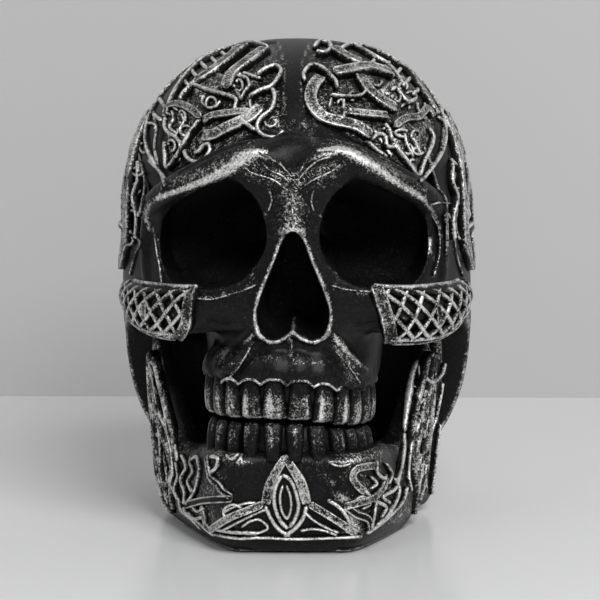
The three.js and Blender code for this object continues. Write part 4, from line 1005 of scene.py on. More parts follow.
sleeve = {
    "overTop": -0.44, "columns": 7, "rows": 3, "end": 0.68, "low": 0.0006, "high": 0.0019,
    "bar": 0.0017, "rim": 0.0022, "lowestRim": 0.0014, "cell": 0.0030, "stand": 0.0006, "forward": 0.009,
    "left": {"start": 0.200, "slant": 0.02, "round": 0.09, "underFoot": 0.44, "drop": 0.0, "flap": 0.0040,
             "foot": 0.0020},
    "right": {"start": 0.125, "slant": 0.085, "round": 0.0, "underFoot": 0.50, "drop": 0.0010, "flap": 0.0046,
              "foot": 0.0040},
}


def drapedOut(points, normals):
    # points that the cranium hides from the front come forward to just before it
    eye = camera.location
    for spot, (point, normal) in enumerate(zip(points, normals)):
        line = Vector(point) - eye
        if Vector(normal).dot(line.normalized()) > -0.12:
            continue
        hit, _, _, far = craniumTree.ray_cast(eye, line.normalized())
        if hit is not None and 0.0004 < line.length - far < sleeve["forward"]:
            points[spot] = hit - line.normalized() * sleeve["stand"]
    return points


def sleevePoint(side, along, around, lift):
    path = sided(face["cheek"], side)
    centre = curveThrough(path, along)
    forward = headingOf(path, along)
    level = unitLength(np.cross(forward, np.array([0, 0, side], float)))
    thick, tall = cheekSizes(along)
    turn = around * np.pi
    point = centre + level * ((thick / 2 + lift) * np.cos(turn))[:, None]
    point[:, 2] -= (tall / 2 + lift) * np.sin(turn)
    return point


def sleeveSurface(side):
    def surface(along, around):
        along, around = np.asarray(along, float), np.asarray(around, float)
        low = sleeve["low"]
        right = sleevePoint(side, along + 0.004, around, low) - sleevePoint(side, along - 0.004, around, low)
        above = sleevePoint(side, along, around - 0.01, low) - sleevePoint(side, along, around + 0.01, low)
        return sleevePoint(side, along, around, low), unitLength(np.cross(right, above)) * side
    return surface


def latticeSleeve(side):
    own = sleeve["right" if side > 0 else "left"]
    start, end = own["start"], sleeve["end"]
    high, low = sleeve["overTop"], own["underFoot"]
    stepAlong, stepAround = (end - start) / sleeve["columns"], (low - high) / sleeve["rows"]
    rise = sleeve["high"] - sleeve["low"]
    sheets = []
    plain = sleeveSurface(side)

    def surface(along, around):  # the inner end leans: its foot starts further out than its top
        down = np.clip((around - high) / (low - high), -0.2, 1.2)
        ahead = np.clip((end - along) / (end - start), 0, 1.1)
        rounded = own["round"] * np.clip(down / 0.5 - 1, 0, 1.3) ** 2
        point, normal = plain(along + (own["slant"] * down + rounded) * ahead, around)
        point[:, 2] -= own["drop"] * down
        return drapedOut(point, normal), normal

    for lean in (1, -1):
        for order in range(-sleeve["rows"], sleeve["columns"] + sleeve["rows"] + 1):
            first = np.array([start + order * stepAlong, high if lean > 0 else low])
            last = first + [sleeve["rows"] * stepAlong, (low - high) * lean]
            cut = np.clip((np.array([start, end]) - first[0]) / (last[0] - first[0]), 0, 1)
            if cut[1] - cut[0] < 0.05:
                continue
            path = [first + (last - first) * share for share in np.linspace(cut[0], cut[1], 6)]
            sheets.append(ribbon(surface, path, sleeve["bar"], "cord", 0.00012 * (lean + 1), rise * 0.8))
    inner = start + own["flap"] * 3.0
    rims = [[(start, high), (end, high), sleeve["rim"], "cord"],
            [(start, low), (end, low), own["foot"], "double"],
            [(inner, high), (inner - 0.01, low), own["flap"], "flat"],
            [(end, high), (end, low), sleeve["rim"], "cord"],
            [(start, low - 0.16), (end, low - 0.13), sleeve["lowestRim"], "cord"]]
    for first, last, width, kind in rims:
        path = np.array(first) + np.outer(np.linspace(0, 1, 8), np.array(last) - first)
        sheets.append(ribbon(surface, path, width, kind, 0.0003, rise))
    cell = np.array([start + stepAlong * 3, high + stepAround])
    sheets.append(ribbon(surface, [cell, cell + [0, stepAround]], sleeve["cell"], "flat", 0.0001, rise * 0.8))
    return sheets


# finishes

def newGroup(name, inputs, colours, values):
    group = bpy.data.node_groups.new(name, "ShaderNodeTree")
    for label, value in inputs.items():
        socket = group.interface.new_socket(label, in_out="INPUT", socket_type="NodeSocketFloat")
        socket.default_value = value
    for label in colours:
        group.interface.new_socket(label, in_out="OUTPUT", socket_type="NodeSocketColor")
    for label in values:
        group.interface.new_socket(label, in_out="OUTPUT", socket_type="NodeSocketFloat")
    return group


def addNode(tree, kind, at, settings=None):
    node = tree.nodes.new(kind)
    node.location = at
    for key, value in (settings or {}).items():
        if key in node.inputs:
            node.inputs[key].default_value = value
        else:
            setattr(node, key, value)
    return node


def mathNode(tree, operation, at, first, second=None):
    node = addNode(tree, "ShaderNodeMath", at, {"operation": operation})
    for spot, value in enumerate((first, second)):
        if value is None:
            continue
        if isinstance(value, (int, float)):
            node.inputs[spot].default_value = value
        else:
            tree.links.new(value, node.inputs[spot])
    return node.outputs[0]


def noiseNode(tree, vector, at, scale, detail=3.0, roughness=0.6, distortion=0.0):
    node = addNode(tree, "ShaderNodeTexNoise", at, {"Scale": scale, "Detail": detail, "Roughness": roughness,
                                                   "Distortion": distortion})
    tree.links.new(vector, node.inputs["Vector"])
    return node.outputs["Fac"]


def rangeNode(tree, value, at, low, high, outLow=0.0, outHigh=1.0):
    node = addNode(tree, "ShaderNodeMapRange", at, {
        "interpolation_type": "SMOOTHSTEP", "From Min": low, "From Max": high, "To Min": outLow,
        "To Max": outHigh})
    tree.links.new(value, node.inputs["Value"])
    return node.outputs["Result"]


def mixColour(tree, mask, at, dark, light):
    node = addNode(tree, "ShaderNodeMix", at, {"data_type": "RGBA"})
    tree.links.new(mask, node.inputs["Factor"])
    for spot, value in ((6, dark), (7, light)):
        if isinstance(value, tuple):
            node.inputs[spot].default_value = value
        else:
            tree.links.new(value, node.inputs[spot])
    return node.outputs[2]


# the darker of the two blacks is painted shade, for the sockets and the nose
rubbed = {"dullSilver": (0.24, 0.237, 0.228, 1), "brightSilver": (0.94, 0.93, 0.90, 1),
          "black": (0.0024, 0.0024, 0.0025, 1), "paintedShadeBlack": (0.0018, 0.0018, 0.0018, 1),
          "speck": (0.017, 0.017, 0.0165, 1), "specular": 0.17, "metal": 0.7, "bumpDistance": 0.0004}


def makeRubGroup():
    # silver rubbed over black: more on what stands out, broken up by grain, patches and worm-like relief; one
    # input paints shade into the black, darker in the sockets and the nose
    group = newGroup("silverRub", {"Rub": 0.0, "Amount": 1.0, "Grain": 1.5, "Patch": 0.5, "Relief": 0.0,
                                   "PaintedRecessShade": 0.0}, ["Color"], ["Mask", "Roughness", "Height"])
    ends = addNode(group, "NodeGroupInput", (-1400, 0))
    where = addNode(group, "ShaderNodeTexCoord", (-1400, 300)).outputs["Object"]
    fine = noiseNode(group, where, (-1100, 300), 1700, 2.0, 0.7)
    grain = noiseNode(group, where, (-1100, 100), 760, 3.0, 0.7)
    patch = noiseNode(group, where, (-1100, -100), 170, 3.0, 0.6)
    swirl = noiseNode(group, where, (-1100, -300), 430, 0.5, 0.5, 1.6)
    ridge = rangeNode(group, mathNode(group, "ABSOLUTE", (-900, -300), mathNode(
        group, "SUBTRACT", (-1000, -300), swirl, 0.5)), (-800, -300), 0.055, 0.005)
    relief = mathNode(group, "MULTIPLY", (-700, -300), ridge, ends.outputs["Relief"])
    mixed = mathNode(group, "ADD", (-900, 250), mathNode(group, "MULTIPLY", (-950, 300), fine, 0.6),
                     mathNode(group, "MULTIPLY", (-950, 150), grain, 0.4))
    grained = mathNode(group, "MULTIPLY", (-700, 200), mathNode(group, "SUBTRACT", (-850, 200), mixed, 0.5),
                       ends.outputs["Grain"])
    patched = mathNode(group, "MULTIPLY", (-700, 0), mathNode(group, "SUBTRACT", (-850, 0), patch, 0.5),
                       ends.outputs["Patch"])
    rub = mathNode(group, "MULTIPLY", (-700, -150), ends.outputs["Rub"], ends.outputs["Amount"])
    total = mathNode(group, "ADD", (-500, 100), mathNode(group, "ADD", (-550, 0), rub, grained), mathNode(
        group, "ADD", (-550, -150), patched, mathNode(group, "MULTIPLY", (-600, -300), relief, 0.5)))
    mask = rangeNode(group, total, (-300, 100), 0.28, 0.62)
    shine = rangeNode(group, total, (-300, 300), 0.35, 1.0)
    bright = mixColour(group, shine, (-100, 300), rubbed["dullSilver"], rubbed["brightSilver"])
    # painted shade: the black turns darker where the sockets and the nose lie in shade
    black = mixColour(group, ends.outputs["PaintedRecessShade"], (-50, 450), rubbed["black"], rubbed["paintedShadeBlack"])
    speck = rangeNode(group, mixed, (-50, 600), 0.48, 0.68)
    black = mixColour(group, speck, (50, 450), black, rubbed["speck"])
    colour = mixColour(group, mask, (100, 300), black, bright)
    grainRough = mathNode(group, "ADD", (0, 0), mathNode(group, "MULTIPLY", (-50, 0), mixed, 0.30), 0.25)
    deepRough = mathNode(group, "MULTIPLY", (-50, -60), ends.outputs["PaintedRecessShade"], 0.4)
    rough = mathNode(group, "ADD", (100, 0), grainRough, deepRough)
    grainHeight = mathNode(group, "MULTIPLY", (-50, -150), mixed, 1.1)
    formHeight = mathNode(group, "ADD", (0, -250), mathNode(group, "MULTIPLY", (-50, -250), mask, 0.25),
                          mathNode(group, "MULTIPLY", (-50, -350), relief, 1.4))
    height = mathNode(group, "ADD", (100, -200), grainHeight, formHeight)
    out = addNode(group, "NodeGroupOutput", (400, 0))
    for label, value in (("Color", colour), ("Mask", mask), ("Roughness", rough), ("Height", height)):
        group.links.new(value, out.inputs[label])
    return group


rubGroup = makeRubGroup()


def newMaterial(name):
    material = bpy.data.materials.new(name)
    material.use_nodes = True
    return material, material.node_tree, material.node_tree.nodes["Principled BSDF"]


def bumpFrom(tree, height, strength, skin):
    bumped = addNode(tree, "ShaderNodeBump", (-250, -300), {"Strength": strength,
                                                            "Distance": rubbed["bumpDistance"]})
    tree.links.new(height, bumped.inputs["Height"])
    tree.links.new(bumped.outputs["Normal"], skin.inputs["Normal"])


def rubbedFinish(name, amount, grain, patch, bump, carved=False):
    material, tree, skin = newMaterial(name)
    worn = addNode(tree, "ShaderNodeAttribute", (-900, 0), {"attribute_name": "rub"})
    group = addNode(tree, "ShaderNodeGroup", (-500, 0), {"node_tree": rubGroup})
    tree.links.new(worn.outputs["Fac"], group.inputs["Rub"])
    for label, value in (("Amount", amount), ("Grain", grain), ("Patch", patch)):
        group.inputs[label].default_value = value
    if carved:  # only the castings carry these layers
        panel = addNode(tree, "ShaderNodeAttribute", (-900, -200), {"attribute_name": "panel"})
        tree.links.new(panel.outputs["Fac"], group.inputs["Relief"])
        # the deep layer paints shade: a darker black in the sockets and the nose
        deep = addNode(tree, "ShaderNodeAttribute", (-900, -400), {"attribute_name": "deep"})
        tree.links.new(deep.outputs["Fac"], group.inputs["PaintedRecessShade"])
    skin.inputs["Specular IOR Level"].default_value = rubbed["specular"]
    tree.links.new(group.outputs["Color"], skin.inputs["Base Color"])
    metallic = mathNode(tree, "MULTIPLY", (-250, -100), group.outputs["Mask"], rubbed["metal"])
    tree.links.new(metallic, skin.inputs["Metallic"])
    tree.links.new(group.outputs["Roughness"], skin.inputs["Roughness"])
    bumpFrom(tree, group.outputs["Height"], bump, skin)
    return material


castingFinish = rubbedFinish("blackResin", 0.70, 2.0, 0.5, bump=0.35, carved=True)
strapFinish = rubbedFinish("rubbedSilver", 0.72, 2.0, 0.8, bump=0.6)
lineFinish = rubbedFinish("rubbedLines", 0.52, 2.4, 1.0, bump=0.5)
sleeveFinish = rubbedFinish("rubbedSleeve", 0.64, 2.2, 1.0, bump=0.6)
fadedFinish = rubbedFinish("fadedSilver", 0.50, 2.2, 1.6, bump=0.6)
toothFinish = rubbedFinish("rubbedTeeth", 0.84, 2.0, 0.5, bump=0.6)


def plainFinish(name, low, high, scale, roughLow, roughHigh, bump):
    material, tree, skin = newMaterial(name)
    where = addNode(tree, "ShaderNodeTexCoord", (-900, 0)).outputs["Object"]
    value = noiseNode(tree, where, (-700, 0), scale, 5.0, 0.7)
    tree.links.new(mixColour(tree, value, (-400, 200), low, high), skin.inputs["Base Color"])
    tree.links.new(rangeNode(tree, value, (-400, 0), 0.3, 0.7, roughLow, roughHigh), skin.inputs["Roughness"])
    bumpFrom(tree, value, bump, skin)
    return material


# the cranium casting

def insideShape(outline, across, up):
    # how far inside a closed outline each map point lies: below zero outside it
    outline = np.array(outline)
    inside = np.zeros(len(across), bool)
    nearest = np.full(len(across), 9.0)
    for first, last in zip(outline, np.roll(outline, -1, axis=0)):
        crosses = (first[1] > up) != (last[1] > up)
        at = first[0] + (up - first[1]) * (last[0] - first[0]) / (last[1] - first[1] + 1e-12)
        inside ^= crosses & (across < at)
        edge = last - first
        t = np.clip(((across - first[0]) * edge[0] + (up - first[1]) * edge[1]) / (edge @ edge), 0, 1)
        nearest = np.minimum(nearest, np.hypot(across - first[0] - t * edge[0], up - first[1] - t * edge[1]))
    return np.where(inside, nearest, -nearest)


panelOutlines = [  # on the brain case's map: where the ground between the straps lies lower
    [(-0.10, 0.90), (-0.045, 0.64), (-0.035, 0.40), (-0.16, 0.375), (-0.28, 0.30), (-0.46, 0.275),
     (-0.53, 0.38), (-0.54, 0.58), (-0.50, 0.82), (-0.39, 0.925), (-0.24, 0.93)],
    [(0.08, 0.89), (0.03, 0.64), (0.04, 0.45), (0.13, 0.405), (0.25, 0.345), (0.36, 0.30), (0.44, 0.25),
     (0.55, 0.33), (0.61, 0.42), (0.60, 0.62), (0.61, 0.82), (0.47, 0.92), (0.30, 0.94), (0.13, 0.92)],
    [(0.66, 0.0), (0.84, -0.08), (0.96, -0.10), (1.09, -0.06), (1.18, 0.05), (1.20, 0.20), (1.15, 0.35),
     (1.05, 0.48), (0.90, 0.60), (0.77, 0.61), (0.70, 0.54), (0.66, 0.36), (0.63, 0.2)],
]
panelOutlines.append([(-across, up) for across, up in panelOutlines[2]])
leafOutlines = [  # and where it stands up again
    [(-0.518, 0.479), (-0.511, 0.444), (-0.487, 0.381), (-0.475, 0.334), (-0.461, 0.293), (-0.423, 0.321),
     (-0.391, 0.369), (-0.374, 0.398), (-0.336, 0.442), (-0.393, 0.489), (-0.466, 0.519)],
    [(0.359, 0.351), (0.397, 0.313), (0.444, 0.267), (0.473, 0.310), (0.540, 0.406), (0.578, 0.480),
     (0.500, 0.500), (0.430, 0.455), (0.380, 0.410)],
    [(-0.45, 0.62), (-0.40, 0.56), (-0.30, 0.55), (-0.26, 0.60), (-0.33, 0.66), (-0.42, 0.72)],
    [(0.33, 0.56), (0.42, 0.52), (0.50, 0.56), (0.55, 0.62), (0.50, 0.70), (0.42, 0.64)],
]
faceStrokes = [  # strength, half widths from end to end, path as seen
    (1.3, [2.5, 6.5, 7, 4.5, 3.4, 3.2], [(266, 151), (250, 154), (232, 166), (208, 180), (180, 190),
                                         (158, 198)]),
    (0.55, [11, 10, 7], [(252, 149), (226, 163), (200, 174), (172, 184)]),
    (0.75, [4, 3.5, 2.5], [(158, 198), (148, 207), (146, 218), (150, 229)]),
    (0.62, [1.6, 1.6], [(153, 228), (156, 244), (160, 262), (162, 280)]),
    (1.0, [2, 6, 7.5, 4.5, 3.5, 3.2], [(318, 150), (340, 149), (358, 156), (378, 169), (404, 187), (424, 200),
                                       (433, 213)]),
    (0.5, [9, 10, 6], [(330, 146), (356, 151), (384, 166), (404, 178)]),
    (0.7, [3, 2.4], [(433, 213), (438, 224), (440, 236)]),
    (1.0, [2.6, 2.2], [(430, 238), (430, 252)]),
    (0.5, [2.2, 2.2], [(432, 252), (436, 266), (433, 278)]),
    (0.34, [11, 9, 11], [(250, 168), (292, 176), (338, 166)]),
    (0.50, [15, 18], [(292, 186), (292, 226)]),
    (0.45, [3, 3], [(266, 214), (262, 236), (256, 262), (250, 284)]),
    (0.45, [3, 3], [(320, 214), (326, 236), (332, 262), (338, 284)]),
    (0.55, [2.4, 2.4], [(199, 297), (216, 297), (236, 292), (254, 285)]),
    (0.55, [2.6, 3.2], [(331, 286), (348, 290), (366, 293)]),
    (0.85, [2.6, 2.0], [(290, 335), (291, 356)]),
    (0.40, [5, 5], [(258, 357), (278, 358)]),
    (0.50, [5, 5], [(295, 361), (326, 362)]),
    (0.62, [2.0, 2.0], [(253, 342), (246, 356), (236, 369), (226, 380)]),
    (0.62, [2.0, 2.0], [(334, 346), (343, 360), (354, 374)]),
    (0.46, [8, 9], [(338, 342), (352, 376)]),
    (0.30, [10, 9], [(232, 346), (222, 376)]),
    (0.30, [10, 9], [(262, 125), (312, 126)]),
    (0.46, [7, 8], [(303, 124), (314, 136)]), (0.8, [3, 3], [(276, 121), (278, 126)]),
    (0.32, [16, 14, 16], [(256, 178), (292, 186), (330, 178)]),
    # painted highlight: a faint silver streak down the middle of the crown stands in for the sheen from the
    # lamp above
    (0.26, [12, 12], [(282, 70), (282, 48)]),
]
quietStrokes = [  # where no silver caught
    (1.6, [6, 6, 6], [(170, 182), (205, 160), (232, 146), (262, 134), (285, 127), (300, 127), (324, 134),
                      (350, 139), (385, 152), (420, 176)]),
    (0.75, [11, 11], [(207, 350), (238, 358)]),
    (1.5, [9, 10, 10], [(200, 377), (236, 374), (277, 372), (326, 378), (372, 388)]),
    (1.6, [7, 7], [(190, 318), (242, 322)]), (1.6, [7, 7], [(343, 322), (392, 318)]),
    (1.6, [7, 7], [(190, 332), (222, 334)]), (1.6, [7, 7], [(360, 332), (386, 334)]),
    (1.6, [14, 14], [(172, 345), (185, 400), (205, 435)]),
    (1.6, [14, 14], [(412, 345), (398, 400), (384, 437)]),
]
reliefStrokes = [  # where worm-like relief shows between them
    (0.75, [12, 9, 12], [(252, 168), (292, 177), (334, 166)]),
    (0.55, [13, 15], [(292, 190), (292, 226)]),
    (0.55, [8, 9], [(340, 344), (352, 376)]),
]
softStrokes = [  # where the casting is smoothed
    (1.5, [20, 20], [(262, 130), (324, 130)]),
    (1.2, [10, 12, 12], [(182, 172), (215, 154), (262, 132)]),
    (1.2, [12, 12, 10], [(324, 132), (372, 146), (412, 170)]),
    (1.5, [12, 12], [(242, 164), (264, 176)]), (1.5, [12, 12], [(320, 176), (344, 164)]),
    (1.3, [9, 9], [(188, 319), (242, 323)]), (1.3, [9, 9], [(343, 323), (392, 318)]),
]
carving = {  # in metres
    "gum": 0.056, "ridge": 0.0007, "ridgeLong": 0.015, "ridgeShort": 0.010, "shortTo": 0.012,
    "hollow": 0.0022, "hollowAside": 0.0235, "hollowUp": 0.066, "hollowSpread": 0.0085,
    "crease": 0.0010, "creaseTop": (0.0125, 0.0700), "creaseFoot": (0.0225, 0.0575), "creaseSpread": 0.0016,
    "groove": 0.0008, "grooveAway": 0.0032,
    "panelSink": 0.0009, "leafRise": 0.0011,
    "noseRim": 0.0007, "noseRimSpread": 0.00065,
}


def sculptFace(casting):
    # root ridges above the teeth, the hollows beside them and the creases from the nose to the gum
    points, normals = pointsOf(casting), normalsOf(casting)
    aside, tall = points[:, 0], points[:, 2]
    ahead = smoothShare(-0.2, -0.7, normals[:, 1]) * (points[:, 1] < -0.03)
    gum = carving["gum"] - teeth["roll"] * aside
    push = np.zeros(len(points))
    for turn, wide in toothTurns(True):
        root = archPoint(turn, 0.0, 0.0)
        length = carving["ridgeLong" if abs(root[0]) > carving["shortTo"] else "ridgeShort"]
        ridge = bell((aside - root[0]) / (wide * 0.36), 1) * carving["ridge"]
        push += ridge * smoothShare(gum + length, gum + 0.002, tall)
    for side in (1, -1):
        away = np.hypot(aside - side * carving["hollowAside"], (tall - carving["hollowUp"]) * 0.8)
        push -= carving["hollow"] * bell(away / carving["hollowSpread"], 1)
        first, last = (np.array([side * across, up]) for across, up in (carving["creaseTop"],
                                                                        carving["creaseFoot"]))
        way = last - first
        along = np.clip(((aside - first[0]) * way[0] + (tall - first[1]) * way[1]) / (way @ way), 0, 1)
        off = np.hypot(aside - first[0] - along * way[0], tall - first[1] - along * way[1])
        push += carving["crease"] * bell(off / carving["creaseSpread"], 1)
        push -= carving["groove"] * bell((off - carving["grooveAway"]) / carving["creaseSpread"], 1)
    setPoints(casting, points + normals * (push * ahead)[:, None])


def thinBack(casting):  # fewer faces where the brain case is smooth
    back = casting.vertex_groups.new(name="back")
    for order, share in enumerate(smoothShare(-0.005, 0.02, pointsOf(casting)[:, 1])):
        if share > 0:
            back.add([order], float(share), "REPLACE")
    thin = casting.modifiers.new("thin", "DECIMATE")
    thin.ratio = skull["kept"]
    thin.vertex_group = "back"
    settle(casting)
    casting.vertex_groups.clear()


def castCranium():
    brainCase = bmesh.new()
    bmesh.ops.create_icosphere(brainCase, subdivisions=6, radius=1)
    units = unitLength(np.array([v.co[:] for v in brainCase.verts]))
    for vert, point in zip(brainCase.verts, vaultFromUnit(units)):
        vert.co = point
    casting = pieceFrom("cranium", [brainCase])
    carve(casting, pieceFrom("throat", [throatBlock()]))
    built = bmesh.new()
    built.from_mesh(casting.data)
    bpy.data.objects.remove(casting)
    sheets = [built, faceBlock(), roundBar(sided(face["nasalRoof"], 1), face["nasalSizes"]),
              roundBar(sided(face["glabella"], 1), face["glabellaSizes"]), neck()]
    for side in (1, -1):
        sheets += [roundBar(sided(face["brow"], side), face["browSizes"], 80, 28), cheekbone(side),
                   roundBar(sided(face["browFill"], side), face["browFillSizes"], 24, 20)]
    casting = pieceFrom("cranium_casting_shape", sheets)
    recast(casting, skull["firstVoxel"])
    for side in (1, -1):
        carve(casting, pieceFrom("hollow", [orbitPocket(side)]))
    whole = bmesh.new()
    whole.from_mesh(casting.data)
    bpy.data.objects.remove(casting)
    sheets = [whole, noseLip()]
    for side in (1, -1):
        sheets += [roundBar(sided(face["post"], side), face["postSizes"], 40, 20, (0, 1, 0)),
                   roundBar(sided(face["wall"], side), face["wallSizes"], 40, 28, (0, 1, 0))]
    sheets.append(gumEdge()[0])
    casting = pieceFrom("cranium_casting_shape", sheets)
    recast(casting, skull["voxel"])
    carve(casting, pieceFrom("hollow", [nosePocket()]))
    carve(casting, pieceFrom("hollow", [underFloor(skull["footLevel"])]))
    recast(casting, skull["voxel"])
    setPoints(casting, evened(pointsOf(casting), edgesOf(casting), 3))
    print("cranium cast:", len(casting.data.vertices), "points")
    return casting


def sinkPanels(casting):
    # the strapwork's ground lies a little lower than the brain case; gives both shares for the finish
    points = pointsOf(casting)
    across, up = mapFromPoints(points)
    onVault = smoothShare(0.004, 0.001, np.abs(np.linalg.norm(
        points - vaultFromUnit(unitFromMap(across, up)), axis=1)))
    panel = np.zeros(len(points))
    for outline in panelOutlines:
        panel = np.maximum(panel, smoothShare(-0.01, 0.02, insideShape(outline, across, up)))
    leaf = np.zeros(len(points))
    for outline in leafOutlines:
        leaf = np.maximum(leaf, smoothShare(-0.01, 0.01, insideShape(outline, across, up)))
    panel, leaf = panel * onVault, leaf * onVault
    sunk = panel * carving["panelSink"] - leaf * carving["leafRise"]
    setPoints(casting, points - normalsOf(casting) * sunk[:, None])
    return onVault, panel, leaf


def wearCranium(casting, edges, onVault, panel, leaf):
    # silver on what stands out and in the strokes, none in the sockets and the nose, where the black is also
    # painted darker as shade
    points, normals = pointsOf(casting), normalsOf(casting)
    wide, tall = points[:, 0] / skull["halfWidth"], points[:, 2] / skull["height"]
    depth = points[:, 1] - faceFront(wide, tall)[:, 1]
    ahead = smoothShare(0.030, 0.016, depth) * smoothShare(0.0, 0.3, normals[:, 2] * 0.5 - normals[:, 1])
    hollow = np.full(len(points), -9.0)
    for side in (1, -1):
        hollow = np.maximum(hollow, insideShape([[side * a, u] for a, u in face["orbit"]], wide, tall))
    noseShape = np.array(wholeNose())
    noseInside = insideShape(noseShape, wide, tall)
    scaled = np.array([skull["halfWidth"], skull["height"]])
    fromRim = insideShape(curveThrough(noseShape * scaled, np.linspace(0, 1, 60), closed=True)[:-1],
                          points[:, 0], points[:, 2])
    # how deep a point lies in a socket or the nose: keeps silver off there and paints shade, a darker black
    deep = smoothShare(-0.01, 0.03, hollow) * smoothShare(0.001, 0.006, depth) * (tall < 0.76)
    deep = np.maximum(deep, smoothShare(0.0, 0.02, noseInside) * smoothShare(0.002, 0.006, depth))
    deep *= points[:, 1] < 0.0
    onRim = smoothShare(-0.06, -0.02, hollow) * ahead
    fine = smoothShare(0.00004, 0.00022, standing(casting, edges, 6)) * 0.75
    broad = smoothShare(0.0005, 0.0025, standing(casting, edges, 40)) * 0.15
    worn = (fine + broad) * (1 - 0.85 * onRim) * (1 - 0.8 * deep)
    worn *= 1 - brushed(points, normals, quietStrokes)
    rub = np.maximum(worn, brushed(points, normals, faceStrokes) * (1 - deep) * (ahead + onVault > 0.02))
    nearRim = bell((fromRim + carving["noseRim"]) / carving["noseRimSpread"], 1)
    rub = np.maximum(rub, 1.1 * nearRim * ahead)
    rub = np.maximum(rub, 0.30 * panel)
    behind = smoothShare(-0.01, 0.02, points[:, 1])
    rub = np.maximum(rub, behind * 0.24 * bell((tall - 0.93) / 0.10, 1))
    rub = np.maximum(rub, behind * 0.30 * smoothShare(0.045, 0.0, tall))
    nasal = brushed(points, normals, reliefStrokes) * ahead
    giveLayer(casting, "rub", np.clip(rub, 0, 1))
    giveLayer(casting, "panel", np.clip(panel * 0.6 + leaf + nasal, 0, 1))
    giveLayer(casting, "deep", np.clip(deep, 0, 1))


def makeCranium():
    casting = castCranium()
    edges = edgesOf(casting)
    sculptFace(casting)
    points = pointsOf(casting)
    soft = brushed(points, normalsOf(casting), softStrokes)[:, None]
    setPoints(casting, points + (evened(points, edges, 90) - points) * np.clip(soft, 0, 1))
    onVault, panel, leaf = sinkPanels(casting)
    wearCranium(casting, edges, onVault, panel, leaf)
    thinBack(casting)
    print("cranium thinned at the back to", len(casting.data.polygons), "faces")
    return casting


cranium = makeCranium()
finishPiece(cranium, castingFinish, "black_resin", "cranium_casting")
print("cranium done")

# raised lines, rings and hatches on the cranium, each by where it is seen in the 600 by 600 view

seenLines = [
    ("hair", [(258, 152), (268, 158), (279, 163), (286, 170), (292, 176), (299, 172), (304, 165)]),
    ("hair", [(243, 165), (252, 172), (264, 176), (276, 181), (286, 189), (293, 192)]),
    ("hair", [(341, 163), (332, 170), (320, 176), (309, 182), (300, 189), (293, 192)]),
    ("hair", [(262, 162), (270, 170), (281, 175), (290, 183)]),
    ("hair", [(331, 156), (318, 160), (306, 170), (297, 182)]),
    ("hair", [(270, 190), (272, 200), (268, 212)]),
    ("hair", [(314, 190), (311, 200), (314, 212)]),
    ("hair", [(293, 193), (292, 205), (293, 218)]),
    ("narrow", [(289, 336), (290.5, 343), (291, 354)], "cord", (1.3, 0.6)),
    ("hair", [(196, 298), (212, 299), (228, 295), (244, 290), (258, 284)]),
    ("hair", [(330, 285), (345, 289), (360, 291), (374, 292)]),
    ("hair", [(252, 348), (246, 358), (238, 369), (226, 380)]),
    ("hair", [(335, 350), (343, 360), (352, 372), (360, 384)]),
    ("hair", [(156, 236), (158, 252), (161, 268), (163, 284)]),
    ("hair", [(430, 210), (437, 228), (438, 250), (432, 276)]),
    ("hair", [(446, 208), (447, 225), (446, 246)]),
    ("hair", [(428, 204), (438, 202), (450, 204)]),
    ("narrow", [(364, 142), (375, 151), (385, 157)], "flat"),
    ("narrow", [(152, 107), (157, 127), (155, 147), (161, 173), (166, 186)]),
    ("narrow", [(138, 140), (142, 163), (146, 183), (143, 204), (138, 224)]),
    ("thin", [(131, 148), (128, 173), (133, 193), (141, 209)]),
    ("narrow", [(124, 183), (128, 214), (126, 244), (128, 262)]),
    ("thin", [(133, 232), (141, 242), (136, 257), (131, 275)]),
    ("thin", [(143, 190), (135, 203), (128, 222)]),
    ("narrow", [(452, 137), (457, 163), (453, 183), (457, 204), (455, 224), (460, 245), (465, 262)]),
    ("narrow", [(461, 135), (465, 163), (467, 194), (470, 224), (471, 255)]),
    ("narrow", [(442, 130), (439, 153), (432, 165), (419, 183)]),
    ("thin", [(450, 109), (443, 127), (442, 148)]),
    ("thin", [(447, 213), (452, 232), (455, 254), (462, 277)]),
    ("thin", [(457, 163), (464, 178), (458, 196), (467, 212), (460, 232)]),
]
seenRings = [  # centre and radius
    (271, 122, 6.0), (174, 113, 4.6), (184, 119, 5.0), (174, 132, 5.0), (188, 132, 5.2),
    (174, 147, 4.6), (177, 159, 3.8), (185, 147, 4.4), (213, 106, 6.0), (201, 101, 4.4), (256, 104, 7.0),
    (401, 89, 4.0), (409, 97, 4.6), (419, 107, 5.0), (424, 116, 4.6), (404, 109, 4.0), (396, 98, 3.6),
    (401, 135, 4.6), (414, 137, 5.0), (406, 150, 4.6), (416, 152, 4.4), (411, 165, 3.8), (384, 134, 5.0),
    (141, 172, 4.6), (138, 190, 5.4), (136, 214, 4.6), (132, 240, 4.6), (146, 148, 4.6), (152, 128, 5.0),
    (457, 148, 4.4), (462, 172, 4.6), (457, 192, 4.6), (463, 214, 4.4), (461, 236, 4.2), (449, 122, 4.4),
    (240, 88, 4.6), (376, 84, 4.0), (352, 98, 4.0), (340, 106, 3.6),
]
seenHatches = [
    ((182, 78), (189, 86)), ((191, 71), (198, 78)), ((201, 64), (208, 71)), ((211, 58), (218, 65)),
    ((221, 53), (228, 59)), ((232, 49), (239, 55)), ((376, 58), (370, 66)), ((388, 64), (381, 72)),
    ((399, 71), (392, 79)), ((409, 79), (402, 87)), ((418, 88), (411, 96)), ((228, 81), (236, 90)),
    ((236, 90), (243, 102)), ((229, 80), (243, 75)), ((243, 75), (262, 81)), ((373, 130), (391, 158)),
    ((161, 100), (168, 110)), ((156, 116), (164, 122)), ((150, 160), (158, 168)), ((436, 118), (444, 124)),
    ((448, 160), (456, 168)), ((452, 200), (460, 206)), ((128, 200), (136, 206)), ((126, 226), (134, 232)),
]
